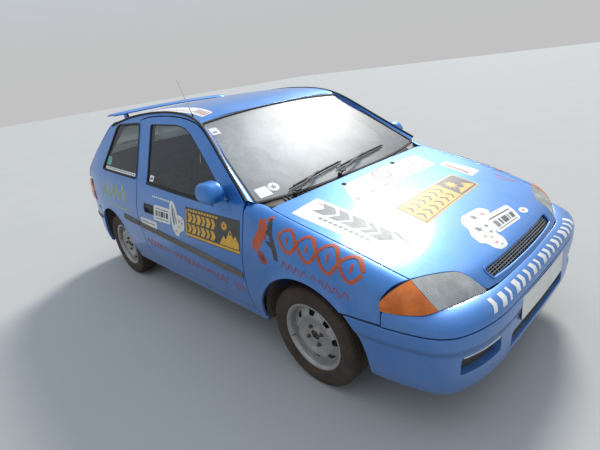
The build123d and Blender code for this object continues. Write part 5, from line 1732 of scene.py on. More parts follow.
# =================================================================== wheels
def wheel_parts():
    """A wheel about the origin, its outer face towards -y."""
    T, R, N = Part(), Part(), Part()
    prof = [(168, -58), (176, -61), (181, -66), (190, -71), (204, -76), (222, -78.5), (240, -78), (254, -75), (263, -70.5), (268.5, -64), (271.5, -57), (273.0, -49), (273.5, -36), (273.5, 0)]
    prof = prof + [(r, -a) for r, a in reversed(prof[:-1])]
    pr = Line(prof)
    m = 72
    ts_ = np.linspace(0, 1, m)
    p = pr.at(ts_)
    n_th = 240
    th = np.arange(n_th) * 2 * pi / n_th
    r = np.tile(p[:, 0][:, None], (1, n_th))
    a = np.tile(p[:, 1][:, None], (1, n_th))
    # grooves round the tread, and blocks across it
    tread = np.clip((r - 258) / 10, 0, 1)
    gr = np.zeros_like(r)
    for c in (-36, -13, 13, 36):
        cc = c + 2.0 * np.sin(th[None] * 40) * (abs(c) < 20)
        gr = np.maximum(gr, np.clip(1 - np.abs((a - cc) / 3.6), 0, 1) ** 0.5)
    sip = np.zeros_like(r)
    ph = (th[None] * 60 / (2 * pi) + a * 0.010 * np.sign(a)) % 1.0
    cut = np.clip(1 - np.abs(ph - 0.5) / 0.16, 0, 1) ** 0.5
    sip = cut * np.where(np.abs(a) > 40, 1.0, 0.75) * (np.abs(np.abs(a) - 24.5) < 40)
    depth = np.maximum(gr * (np.abs(a) < 42), sip * (np.abs(a) > 14)) * 6.0 * np.clip((273.9 - np.abs(r - 273.9) * 1.0 - 258) / 10, 0, 1)
    depth = depth * tread
    rr = r - depth
    # raised rings and a fine ridge on the sidewall; no lettering
    s = (r - 200) / 50
    band = np.exp(-((r - 236) / 2.0) ** 2) * 0.9 + np.exp(-((r - 196) / 1.6) ** 2) * 1.2
    aa = a + np.sign(a) * band * (np.abs(a) > 60)
    X = rr * np.cos(th)[None]
    Z = rr * np.sin(th)[None]
    rows = np.stack([X, aa, Z], -1)
    strip(T, rows[::-1], 0, closed=True)
    lathe(T, [(168, -58), (168, 58)], (0, 0, 0), (0, 1, 0), 48)
    # rim: barrel with safety humps and lips
    lip = [(166, 60), (176, 60.5), (181.5, 62), (183, 65), (181, 67.5), (176, 67), (170, 63.5), (166, 60.5), (163, 55), (160.5, 46), (158.5, 30), (157, 10), (152, 0), (150, -8), (154, -24), (158, -44), (162, -56), (168, -62), (176, -64), (181, -64.5), (181.5, -62), (176, -60), (168, -59)]
    lip = [(r_, -a_) for r_, a_ in lip]
    lathe(R, cr(lip, 2)[::-1], (0, 0, 0), (0, 1, 0), 72, limit=70)
    # disc with eight vents
    az = pchip([0, 24, 30, 36, 44, 60, 74, 88, 102, 112, 122, 134, 146, 154, 162], [46, 46, 45, 42, 40, 39, 41, 46, 50, 50.5, 48, 40, 34, 31, 30])

    def disc(u, v):
        r_ = np.hypot(u, v)
        t_ = np.arctan2(v, u)
        sc = 1.6 * np.cos(t_ * 8) * np.exp(-((r_ - 108) / 16) ** 2)
        return np.stack([u, -(az(r_) + sc), v], -1)
    ds = Surf(disc, 1)
    holes = []
    for k in range(8):
        c = 2 * pi * (k + 0.5) / 8
        q = rounded([(113, -13), (141, -23), (141, 23), (113, 13)], 7, 3)
        holes.append(np.stack([q[:, 0] * math.cos(c) - q[:, 1] * math.sin(c), q[:, 0] * math.sin(c) + q[:, 1] * math.cos(c)], 1))
    holes.append(circle(0, 0, 29, 32))
    panel(R, ds, circle(0, 0, 160, 72), holes, rim=2.0, depth=5, h=11, back=True)
    # hub and nuts
    lathe(N, [(0.1, 30), (20, 30), (27, 26), (28, 8)][::-1], (0, -10, 0), (0, -1, 0), 28)
    lathe(N, [(9, 36), (9, 30), (20, 29)][::-1], (0, -10, 0), (0, -1, 0), 20)
    for k in range(4):
        c = pi / 4 + k * pi / 2
        o = np.array([50 * math.cos(c), -39, 50 * math.sin(c)])
        hx = []
        lathe(N, [(11.5, 0), (11.5, 3), (9.6, 4.5), (9.6, 15), (7.5, 18), (0.1, 18.5)], o, (0, -1, 0), 6, limit=20)
        lathe(R, [(17, -1), (15.5, 2), (12, 3)], o, (0, -1, 0), 20)
    # valve
    tube(N, [(-118, -46, -100), (-126, -58, -107), (-129, -66, -110)], 3.2, 8)
    return T, R, N


def build_wheels():
    T, R, N = wheel_parts()
    D = Part()
    lathe(D, [(0.1, -8), (118, -8), (120, -6), (120, 2), (118, 4), (70, 5), (66, 22), (40, 26), (0.1, 26)], (0, 0, 0), (0, -1, 0), 48)
    for place, x, y in (("front_right", 1080, -682), ("front_left", 1080, 682), ("rear_right", -1185, -670), ("rear_left", -1185, 670)):
        t, r, n, d = T, R, N, D
        ang = {"front_right": 0.35, "front_left": 1.1, "rear_right": 0.8, "rear_left": 0.2}[place]
        c, s = math.cos(ang), math.sin(ang)
        Rm = np.array([[c, 0, s], [0, 1, 0], [-s, 0, c]])
        o = (x, y, 273.5)
        t, r, n, d = (q.moved((0, 0, 0), Rm) for q in (t, r, n, d))
        if y > 0:
            t, r, n, d = (q.mirror() for q in (t, r, n, d))
        body = "wheel_" + place
        make("tyre_tread_" + place, t.moved(o), ["tyre"], body, ["tyre_" + place])
        make("wheel_disc_" + place, r.moved(o), ["wheel_steel"], body, ["rim_" + place])
        make("wheel_nuts_" + place, n.moved(o), ["steel_dark"], body)
        o2 = (x, y + (26 if y < 0 else -26), 273.5)
        make("brake_disc_" + place, d.moved(o2), ["cast"], body)
# =================================================================== mirrors, handles, mouldings, front plate
def build_trim():
    P = Part()
    prof = ccw(cr([(487, 938), (481, 972), (481, 1008), (500, 1031), (546, 1036), (594, 1022), (627, 980), (606, 938), (562, 925), (516, 927)], 5, True))
    c = np.array([486.0, 980.0])
    th = np.linspace(0, pi, 23)
    ys = -766 - 110 * (1 - np.cos(th)) / 2
    rows = []
    for t, y in zip(th, ys):
        s = (1 - math.cos(t)) / 2
        k = max(0.02, (1 - abs(2 * s - 1) ** 5.0) ** 0.42)
        q = c + (prof - c) * [k * (1.0 - 0.10 * s), k]
        rows.append(np.stack([q[:, 0], np.full(len(q), y), q[:, 1]], 1))
    strip(P, rows, 0, closed=True)
    arm = cr([(580, -740, 925), (572, -762, 930), (560, -782, 942), (552, -800, 958)], 4)
    sweep(P, arm, [(30 * math.cos(a), 13 * math.sin(a)) for a in np.linspace(0, 2 * pi, 21)[:-1]], np.array([0, 0.35, 1.0]), m=0)
    sail = rounded([(632, 877), (616, 908), (560, 950), (482, 1003), (456, 996), (464, 884)], [12, 12, 12, 8, 8, 10], 4, 6)
    panel(P, side, sail, rim=4, depth=14, h=30, m=0, lift=3.5)
    g = flat((477.5, -822, 980), (0, 1, 0), (0, 0, -1))
    bez = rounded([(-46, -44), (44, -40), (46, 36), (-40, 42)], 18, 5)
    panel(P, g, bez, rim=2.5, depth=9, h=30, m=1)
    panel(P, g, grow(bez, -6), rim=0.6, depth=1, h=30, m=2, lift=1.0)
    gk = cr([(577, -750, 927), (574, -757, 928.5)], 2)
    sweep(P, gk, [(32 * math.cos(a), 15 * math.sin(a)) for a in np.linspace(0, 2 * pi, 21)[:-1]], np.array([0, 0.35, 1.0]), m=1)
    make("door_mirror_right", P, ["paint", "trim", "mirror_face"], "door_leaf_right", ["mirror_right"])
    make("door_mirror_left", P.mirror(), ["paint", "trim", "mirror_face"], "door_leaf_left", ["mirror_left"])
    # ---- handle cup, paddle and frame, and the key barrel
    H = Part()
    cup = side.lifted(-16)
    panel(H, cup, grow(HANDLE, 2), rim=0.5, depth=2, h=30, m=0)
    Pq, Nq = side.pn(ccw(resample(HANDLE, 9, True)), 0.4)
    sweep(H, Pq, [(-2, -3), (5, -3), (5, 0.8), (3, 2.2), (0, 2.2), (-2, 0.5)], Nq, closed=True)
    pad = rounded([(-446, 740), (-437, 771), (-306, 769), (-313, 738)], 6, 3)
    panel(H, side, pad, rim=6, depth=9, h=16, m=1, lift=-1.5)
    o, n = side.pn([(-478, 738)], 0)
    lathe(H, [(11, -1), (11, 2.0), (9, 3.2), (4, 3.2)], o[0], n[0], 20, 2)
    make("door_handle_right", H, ["trim", "plastic", "silver"], "door_leaf_right")
    make("door_handle_left", H.mirror(), ["trim", "plastic", "silver"], "door_leaf_left")
    # ---- side mouldings
    sec = [(-21, -2), (21, -2), (21, 4), (15.5, 9), (-15.5, 9), (-21, 4)]

    def rub(x0, x1):
        K = Part()
        xs = np.linspace(x0, x1, max(3, int(abs(x1 - x0) / 28)))
        Pm, Nm = side.pn(np.stack([xs, 561 - 0.061 * xs], 1), 0.5)
        Pm[0] -= Nm[0] * 4
        Pm[-1] -= Nm[-1] * 4
        sweep(K, Pm, sec, Nm)
        return K
    K = rub(-586, 651)
    make("door_moulding_right", K, ["moulding"], "door_leaf_right")
    make("door_moulding_left", K.mirror(), ["moulding"], "door_leaf_left")
    make("quarter_mouldings", both(rub(-866, -603)), ["moulding"], "car_body")
    # ---- front plate
    F = Part()
    pl = Surf(lambda u, v: np.stack([1876.2 - 7e-5 * u * u, u, v + 0 * u], -1))
    plate = rounded([(-260, 402), (260, 402), (260, 513), (-260, 513)], 9, 4)
    panel(F, pl, plate, rim=0.8, depth=2.2, h=60, m=0, back=True)
    panel(F, pl, grow(plate, 2), rim=0.8, depth=5, h=60, m=1, lift=-2.4)
    for y in (-150, 150):
        lathe(F, [(7, -0.5), (7, 1.2), (5, 2.4), (0, 2.6)], (1876.2 - 7e-5 * y * y, y, 458), (1, 0, 0), 18, 0)
    make("front_plate_blank", F, ["plate_white", "trim"], "car_body", ["front_plate"])
    # ---- fuel flap on the left, drawn by its shut line
    L = Part()
    flap = rounded([(-1075, 700), (-925, 706), (-928, 838), (-1070, 838)], 26, 5)
    panel(L, side, flap, rim=2.2, depth=3, h=40, m=0, lift=1.4)
    Pq, Nq = side.pn(ccw(resample(grow(flap, 1.5), 12, True)), 0.15)
    sweep(L, Pq, [(-1.6, -1), (1.6, -1), (1.6, 0.3), (-1.6, 0.3)], Nq, m=1, closed=True)
    make("fuel_flap", L.mirror(), ["paint", "rubber"], "car_body")


# =================================================================== vinyl and painted motifs
class Vinyl:
    def __init__(s):
        s.part, s.names = Part(), []

    def __call__(s, S, outline, name, lift=0.8, h=30.0, holes=()):
        if name not in s.names:
            s.names.append(name)
        decal(s.part, S, outline, s.names.index(name), lift, h, holes)


def quad(A, B, C, D):
    """Unit square to a four-cornered patch: s from A to B, t from A to D."""
    A, B, C, D = (np.array(p, float) for p in (A, B, C, D))

    def f(pts):
        p = np.asarray(pts, float).reshape(-1, 2)
        s, t = p[:, :1], p[:, 1:]
        return A * (1 - s) * (1 - t) + B * s * (1 - t) + C * s * t + D * (1 - s) * t
    return f


def box(s0, t0, s1, t1, k=0.0):
    return [(s0, t0), (s1, t0), (s1 + k, t1), (s0 + k, t1)]


def ribbon(pts, w):
    p = np.array(pts, float)
    t = np.gradient(p, axis=0)
    t /= np.maximum(np.linalg.norm(t, axis=1), 1e-9)[:, None]
    n = np.stack([-t[:, 1], t[:, 0]], 1) * (np.broadcast_to(np.asarray(w, float), (len(p),)) / 2)[:, None]
    return np.vstack([p + n, (p - n)[::-1]])


def star(cx, cy, r0, r1, n, turn=0.0):
    out = []
    for i in range(2 * n):
        a = turn + i * pi / n
        r = r0 if i % 2 == 0 else r1
        out.append((cx + r * math.cos(a), cy + r * math.sin(a)))
    return out


def rally_panel(V, S, q, lift=0.8):
    """A dark panel with yellow arrows in two rows, and a sun over peaks."""
    V(S, q([(0, 0), (1, 0), (1, 1), (0, 1)]), "v_dark", lift)
    up = lift + 0.6
    V(S, q(box(0.0, 0.03, 1.0, 0.11)), "v_yellow", up)
    V(S, q(box(0.012, 0.11, 0.030, 0.93)), "v_yellow", up)
    for i in range(11):
        V(S, q(box(0.05 + i * 0.054, 0.875, 0.088 + i * 0.054, 0.945, 0.01)), "v_yellow", up)
    for row, (t0, t1) in enumerate(((0.52, 0.82), (0.16, 0.46))):
        tm = (t0 + t1) / 2
        x = 0.05
        for i in range(6):
            w = 0.048 if (i + row) % 2 else 0.066
            V(S, q([(x, t0), (x + w, t0), (x + w + 0.034, tm), (x + w, t1), (x, t1), (x + 0.034, tm)]), "v_yellow", up)
            x += w + 0.034
    V(S, q([(0.665, 0.14), (0.735, 0.44), (0.775, 0.33), (0.845, 0.66), (0.895, 0.42), (0.93, 0.52), (0.985, 0.30), (0.985, 0.14)]), "v_yellow", up)
    V(S, q(np.array(star(0, 0, 1.0, 0.55, 11)) * [0.062, 0.155] + [0.745, 0.73]), "v_yellow", up)
    V(S, q(np.array(circle(0, 0, 1, 16)) * [0.016, 0.042] + [0.745, 0.73]), "v_red", up + 0.6)
    V(S, q([(0.828, 0.50), (0.845, 0.60), (0.872, 0.50), (0.852, 0.53), (0.842, 0.49)]), "v_dark", up + 0.6)


def badge(V, S, q, lift=0.8, r=18):
    """A white card with dark bars."""
    V(S, rounded(q([(0, 0), (1, 0), (1, 1), (0, 1)]), r, 4), "v_white", lift)
    for s0, t0, s1, t1 in ((0.10, 0.78, 0.90, 0.83), (0.10, 0.15, 0.90, 0.20), (0.12, 0.32, 0.26, 0.68), (0.31, 0.32, 0.38, 0.68),
                           (0.43, 0.32, 0.62, 0.68), (0.66, 0.32, 0.70, 0.68), (0.75, 0.32, 0.88, 0.68)):
        V(S, q(box(s0, t0, s1, t1)), "v_grey" if t1 - t0 > 0.1 and s0 < 0.3 else "v_dark", lift + 0.6)


def door_motifs():
    V = Vinyl()
    rally_panel(V, side, quad((97, 641), (660, 641), (700, 838), (150, 836)))
    q = quad((-331, 673), (-92, 677), (-52, 786), (-279, 789))
    badge(V, side, q)
    tower = rounded([(-66, 655), (-60, 800), (-34, 846), (6, 848), (30, 800), (34, 764), (76, 764), (110, 742), (100, 704), (82, 668),
                     (26, 650), (-2, 612), (-42, 616)], [14, 10, 22, 22, 10, 8, 14, 16, 10, 14, 10, 14, 14], 4, 6)
    V(side, tower, "v_white", 1.5)
    V(side, ribbon([(-30, 690), (-26, 760), (-16, 822)], [22, 26, 10]), "v_grey", 2.1)
    V(side, ribbon([(2, 700), (2, 750), (-2, 800)], [7, 9, 6]), "v_dark", 2.1)
    for x, z, r, nm in ((44, 726, 15, "v_pink"), (76, 714, 13, "v_grey"), (18, 682, 13, "v_green"), (52, 690, 10, "v_pink"),
                        (-20, 648, 12, "v_pink"), (84, 738, 8, "v_dark")):
        V(side, star(x, z, r, r * 0.5, 5, 0.4), nm, 2.1)
    lab = quad((-551, 614), (-312, 603), (-300, 655), (-548, 660))
    V(side, rounded(lab([(0, 0), (1, 0), (1, 1), (0, 1)]), 8, 3), "v_white", 0.8)
    V(side, lab(box(0.08, 0.42, 0.86, 0.60)), "v_grey", 1.4)
    for i in range(9):
        x = -288 + i * 27
        V(side, [(x, 839 - i * 0.9), (x + 19, 839 - i * 0.9), (x + 22, 851 - i * 0.9), (x + 3, 851 - i * 0.9)], "v_white", 0.8)
    # hand-painted wave below the moulding
    xs = np.arange(-540, 500, 5.0)
    zc = np.interp(xs, [-540, 650], [478, 428])
    amp = 19 + 7 * np.sin(xs * 0.013 + 1)
    V(side, ribbon(np.stack([xs, zc + amp * np.sin(xs * 0.118 + 0.9 * np.sin(xs * 0.017))], 1), 8 + 2 * np.sin(xs * 0.05)), "v_red", 0.8)
    for x in (545, 580, 614):
        V(side, ribbon([(x, 462), (x + 12, 436), (x + 26, 404)], [6, 11, 7]), "v_red", 0.8)
    return V


def quarter_motifs():
    V = Vinyl()
    for i, (x, w) in enumerate(((-1195, 58), (-1100, 64), (-1000, 70), (-898, 74), (-790, 76))):
        zc = 786 + 4 * i
        o = np.array([(x - w / 2, zc), (x, zc - 74), (x + w / 2, zc), (x, zc + 74)])
        V(side, o, "v_green", 0.8, holes=[np.array([x, zc]) + (o - [x, zc]) * 0.58])
        V(side, np.array([x, zc]) + (o - [x, zc]) * 0.22, "v_green", 0.8)
    for i in range(14):
        x = -1180 + i * 33
        V(side, box(x, 672 - i * 0.6, x + 21, 684 - i * 0.6, 5), "v_green", 0.8)
    return V


def glass_motifs(S, which):
    V = Vinyl()
    if which == "quarter":
        V(S, [(-1140, 962), (-560, 947), (-560, 967), (-1140, 983)], "v_white", 0.8)
        for i in range(13):
            x = -1110 + i * 42
            z = 966 - (x + 1140) * 0.026
            V(S, box(x, z + 4, x + 24, z + 12, 4), "v_grey", 1.4)
        V(S, rounded([(-1140, 994), (-1040, 992), (-1032, 1052), (-1112, 1056)], 8, 3), "v_teal", 0.8)
    else:
        V(S, rounded([(-338, 938), (-280, 936), (-277, 974), (-335, 976)], 5, 3), "v_white", 0.8)
        V(S, box(-326, 950, -290, 962), "v_grey", 1.4)
    return V


def fender_motifs():
    V = Vinyl()
    S = fender_s
    V(S, ribbon([(792, -138), (812, -100), (838, -50), (868, 0), (886, 40), (914, 88)], [30, 46, 42, 50, 34, 22]), "v_orange", 0.8)
    V(S, [(840, 10), (872, 22), (880, 62), (858, 44), (846, 60)], "v_orange", 0.9)
    V(S, [(838, -62), (884, -36), (888, -12), (852, -20)], "v_orange", 1.0)
    V(S, circle(846, -150, 32, 26), "v_red", 0.8)
    V(S, circle(852, -146, 12, 16), "v_dark", 1.4)
    V(S, ribbon([(908, 78), (916, 40), (924, 0), (938, -52), (950, -112)], [16, 30, 24, 34, 30]), "v_dark", 0.8)
    V(S, [(900, 20), (926, 34), (930, 8), (908, -4), (888, 2)], "v_dark", 1.4)
    V(S, [(884, -40), (922, -30), (930, -54), (904, -60)], "v_dark", 1.4)
    # braid along the shoulder
    xs = np.arange(972, 1436, 5.0)
    vc = np.interp(xs, [972, 1440], [14, 56])
    amp = np.interp(xs, [972, 1150, 1300, 1440], [50, 56, 62, 44])
    for k, ph in enumerate((0.0, pi)):
        V(S, ribbon(np.stack([xs, vc + amp * np.sin((xs - 972) * 2 * pi / 232 + ph)], 1), 16 + 3 * np.sin(xs * 0.03 + ph)), "v_orange", 0.8 + 0.6 * k)
    for x in (1030, 1146, 1262, 1378):
        c = float(np.interp(x, [972, 1440], [14, 56]))
        V(S, ribbon([(x, c - 18), (x + 2, c), (x - 1, c + 20)], [6, 15, 7]), "v_orange", 0.8)
    # thin line below it
    xs = np.arange(980, 1380, 4.0)
    vc = np.interp(xs, [980, 1380], [-108, -74])
    V(S, ribbon(np.stack([xs, vc + 17 * np.sin(xs * 0.14 + 0.8 * np.sin(xs * 0.03))], 1), 5.5), "v_red", 0.8)
    return V


def bonnet_motifs():
    V = Vinyl()
    S = bonnet_s
    q = quad((950, -652), (1508, -606), (1496, -408), (938, -455))
    V(S, rounded(q([(0, 0), (1, 0), (1, 1), (0, 1)]), 14, 4), "v_white", 0.8)
    x = 0.10
    for w, g in ((0.13, 0.035), (0.10, 0.035), (0.13, 0.035), (0.06, 0.035), (0.10, 0.03)):
        V(S, q([(x, 0.42), (x + w, 0.42), (x + w + 0.07, 0.66), (x + w, 0.88), (x, 0.88), (x + 0.07, 0.66)]), "v_grey", 1.4)
        x += w + g
    V(S, q(ribbon([(0.66, 0.93), (0.80, 0.92), (0.97, 0.72)], [0.01, 0.05, 0.008])), "v_grey", 1.4)
    for i in range(10):
        V(S, q(box(0.22 + i * 0.05, 0.22, 0.254 + i * 0.05, 0.30, 0.006)), "v_grey", 1.4)
    V(S, q(star(0.09, 0.80, 0.05, 0.022, 6)), "v_pink", 1.4)
    # rear band
    V(S, rounded([(934, -246), (1104, -360), (1104, 440), (936, 470)], 12, 3), "v_white", 0.8)
    ring = circle(986, 34, 60, 40)
    V(S, ring, "v_red", 1.4, holes=[np.array([986, 34]) + (ring - [986, 34]) * 0.78])
    V(S, star(986, 34, 34, 14, 6, 0.3), "v_pink", 1.4)
    V(S, ribbon([(960, -150), (985, -118), (1010, -138), (1022, -96)], [6, 12, 10, 5]), "v_grey", 1.4)
    for i in range(17):
        y = -322 + i * 42
        V(S, [(1076, y), (1091, y - 2), (1092, y + 24), (1077, y + 27)], "v_pink" if i % 3 else "v_red", 1.4)
    for i in range(5):
        V(S, star(1000 + 14 * (i % 2), 150 + i * 58, 22, 9, 4, i * 0.3), "v_red" if i % 2 else "v_pink", 1.4)
    V(S, rounded([(1120, 446), (1334, 436), (1318, 568), (1118, 534)], 10, 3), "v_blush", 0.8)
    V(S, [(1150, 462), (1300, 456), (1296, 478), (1150, 484)], "v_red", 1.4)
    # framed panel
    q = quad((1440, -256), (1406, 366), (1245, 356), (1262, -256))
    V(S, q([(0, 0), (1, 0), (1, 1), (0, 1)]), "v_yellow", 0.8)
    V(S, q([(0.015, 0.05), (0.985, 0.05), (0.985, 0.95), (0.015, 0.95)]), "v_dark", 1.3, holes=[q([(0.024, 0.08), (0.976, 0.08), (0.976, 0.92), (0.024, 0.92)])])
    V(S, q([(0.66, 0.08), (0.976, 0.08), (0.976, 0.92), (0.66, 0.92)]), "v_dark", 1.3)
    for t0, t1 in ((0.14, 0.44), (0.52, 0.82)):
        tm = (t0 + t1) / 2
        for i in range(6):
            x = 0.05 + i * 0.098
            V(S, q([(x, t0), (x + 0.026, t0), (x + 0.066, tm), (x + 0.026, t1), (x, t1), (x + 0.04, tm)]), "v_dark", 1.3)
    V(S, q(np.array(star(0, 0, 1.0, 0.5, 9)) * [0.072, 0.26] + [0.76, 0.60]), "v_yellow", 1.9)
    V(S, q([(0.68, 0.12), (0.76, 0.34), (0.82, 0.22), (0.88, 0.46), (0.965, 0.12)]), "v_yellow", 1.9)
    # white cluster by the grille
    blob = rounded([(1508, -64), (1520, 96), (1566, 120), (1592, 60), (1640, 0), (1700, -58), (1770, -62), (1838, -98), (1834, -160), (1780, -182),
                    (1716, -176), (1676, -204), (1610, -184), (1586, -142), (1540, -128)], 22, 4, 6)
    V(S, blob, "v_white", 0.8)
    for x, y, r, nm in ((1550, -20, 20, "v_grey"), (1560, 50, 16, "v_pink"), (1610, -100, 22, "v_grey"), (1660, -130, 15, "v_pink"), (1700, -110, 12, "v_green"),
                        (1760, -130, 18, "v_pink"), (1620, -40, 12, "v_dark"), (1800, -120, 10, "v_grey"), (1660, -70, 14, "v_grey")):
        V(S, star(x, y, r, r * 0.5, 5, x * 0.1), nm, 1.4)
    badge(V, S, quad((1716, -52), (1742, 182), (1596, 256), (1576, 8)), 1.5, 22)
    c = np.array(circle(0, 0, 1, 30))
    V(S, c * [42, 35] + [1694, 278], "v_white", 0.8)
    V(S, np.array(star(0, 0, 1, 0.45, 5)) * [17, 14] + [1694, 278], "v_orange", 1.4)
    V(S, ribbon([(1412, 556), (1436, 584), (1462, 572), (1490, 606), (1520, 626)], [5, 12, 9, 12, 5]), "v_orange", 0.8)
    V(S, ribbon([(1392, 590), (1420, 612), (1450, 610)], [5, 10, 5]), "v_red", 0.8)
    return V


def roof_motifs():
    V = Vinyl()
    V(roof_s, rounded([(-745, -500), (-560, -484), (-300, -462), (-60, -442), (128, -446), (150, -540), (-80, -564), (-420, -562), (-740, -545)], 10, 3), "v_white", 0.8)
    for i in range(5):
        x = 20 + i * 24
        V(roof_s, ribbon([(x, -462), (x + 10, -496), (x + 4, -530)], [6, 12, 6]), "v_red", 1.4)
    for i in range(16):
        x = -700 + i * 44
        V(roof_s, box(x, -534, x + 26, -524, 5), "v_pink" if i % 2 else "v_red", 1.4)
    return V


def screen_motifs(S):
    V = Vinyl()
    V(S, rounded([(-588, 626), (-530, 620), (-528, 684), (-584, 690)], 6, 3), "v_white", 0.8)
    V(S, box(-572, 640, -546, 652), "v_grey", 1.3)
    V(S, rounded([(-672, 84), (-592, 78), (-590, 148), (-664, 154)], 5, 3), "v_white", 0.8)
    V(S, circle(-556, 122, 32, 26), "v_white", 0.8)
    V(S, star(-556, 122, 20, 9, 5), "v_grey", 1.3)
    return V


def ledge_motifs():
    V = Vinyl()
    for i in range(17):
        u = -500 + i * 62
        w = (24, 34, 18, 38, 28)[i % 5]
        V(ledge_s, [(u, 26), (u + w, 26), (u + w + 12, 52), (u + w, 78), (u, 78), (u + 12, 52)], "v_white", 0.8, h=20)
    return V


def build_motifs():
    D = door_motifs()
    make("door_motifs_right", D.part, D.names, "door_leaf_right")
    make("door_motifs_left", D.part.mirror(), D.names, "door_leaf_left")
    G = glass_motifs(side.lifted(-8.2), "door")
    make("door_glass_sticker_right", G.part, G.names, "door_leaf_right")
    G = glass_motifs(side.lifted(-5.2), "quarter")
    make("quarter_glass_stickers", G.part, G.names, "car_body")
    for nm, V, body, two in (("quarter_motifs", quarter_motifs(), "car_body", False), ("fender_motifs", fender_motifs(), "car_body", True),
                             ("bonnet_motifs", bonnet_motifs(), "bonnet_lid", False), ("roof_motifs", roof_motifs(), "car_body", False),
                             ("screen_stickers", screen_motifs(ws_s.lifted(SCREEN_LIFT)), "car_body", False), ("bumper_motifs", ledge_motifs(), "car_body", False)):
        make(nm, both(V.part) if two else V.part, V.names, body)


# =================================================================== cabin
def turn_y(deg):
    a = math.radians(deg)
    return np.array([[math.cos(a), 0, math.sin(a)], [0, 1, 0], [-math.sin(a), 0, math.cos(a)]])


def evaluated(ob):
    dg = bpy.context.evaluated_depsgraph_get()
    return bpy.data.meshes.new_from_object(ob.evaluated_get(dg))


def upholster(part, voxel, cap, squeeze=0.0):
    """Blown-up cloth: the blocks are merged, inflated by the cloth solver with a cap on each point's travel, and smoothed."""
    V = np.vstack(part.v) / 1000.0
    me = bpy.data.meshes.new("pad_source")
    me.from_pydata([tuple(p) for p in V], [], part.f)
    ob = bpy.data.objects.new("pad_source", me)
    bpy.context.scene.collection.objects.link(ob)
    r = ob.modifiers.new("remesh", "REMESH")
    r.mode = "VOXEL"
    r.voxel_size = voxel / 1000.0
    flat_me = evaluated(ob)
    ob.modifiers.clear()
    ob.data = flat_me
    n = len(flat_me.vertices)
    a = np.zeros(n * 3, np.float32)
    flat_me.vertices.foreach_get("co", a)
    a = a.reshape(-1, 3)
    cl = ob.modifiers.new("cloth", "CLOTH")
    st = cl.settings
    st.quality = 4
    st.mass = 0.25
    st.use_pressure = True
    st.uniform_pressure_force = 4.0
    st.effector_weights.gravity = 0.0
    st.tension_stiffness = st.compression_stiffness = 12.0
    st.shear_stiffness = 6.0
    st.bending_stiffness = 1.2
    cl.collision_settings.use_collision = False
    cl.collision_settings.use_self_collision = False
    sc = bpy.context.scene
    for f in range(1, 21):
        sc.frame_set(f)
    done = evaluated(ob)
    b = np.zeros(n * 3, np.float32)
    done.vertices.foreach_get("co", b)
    b = b.reshape(-1, 3)
    d = b - a
    ln = np.linalg.norm(d, axis=1)
    k = np.where(ln > 1e-9, cap / 1000.0 * np.tanh(ln / (cap / 1000.0)) / np.maximum(ln, 1e-9), 1)
    a = a + d * k[:, None]
    ob.modifiers.clear()
    sc.frame_set(1)
    bpy.data.meshes.remove(done)
    flat_me.vertices.foreach_set("co", a.astype(np.float32).ravel())
    flat_me.update()
    sm = ob.modifiers.new("smooth", "SMOOTH")
    sm.factor = 0.5
    sm.iterations = 3
    sb = ob.modifiers.new("subdivide", "SUBSURF")
    sb.levels = sb.render_levels = 1
    out = evaluated(ob)
    bpy.data.objects.remove(ob)
    return out


def pad_piece(name, me, body, replaces=(), flip=False):
    me = me.copy()
    if flip:
        n = len(me.vertices)
        a = np.zeros(n * 3, np.float32)
        me.vertices.foreach_get("co", a)
        a = a.reshape(-1, 3) * [1, -1, 1]
        me.vertices.foreach_set("co", a.astype(np.float32).ravel())
        me.flip_normals()
        me.update()
    me.name = name
    me.materials.clear()
    me.materials.append(MATS["cloth"])
    me.shade_smooth()
    ob = bpy.data.objects.new(name, me)
    bpy.context.scene.collection.objects.link(ob)
    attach(ob, body)
    if replaces:
        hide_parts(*replaces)
    return ob


def cast_line(me, pts, d, off=0.0):
    """Drops points onto a mesh along a direction, in millimetres."""
    from mathutils.bvhtree import BVHTree
    n = len(me.vertices)
    a = np.zeros(n * 3, np.float32)
    me.vertices.foreach_get("co", a)
    tree = BVHTree.FromPolygons([Vector(v) for v in a.reshape(-1, 3).tolist()], [tuple(p.vertices) for p in me.polygons])
    out = []
    dv = Vector(d).normalized()
    for p in pts:
        o = Vector([c / 1000.0 for c in p]) - dv * 0.4
        hit = tree.ray_cast(o, dv)
        if hit[0] is not None:
            out.append(np.array(hit[0] - dv * off / 1000.0) * 1000.0)
    return np.array(out)


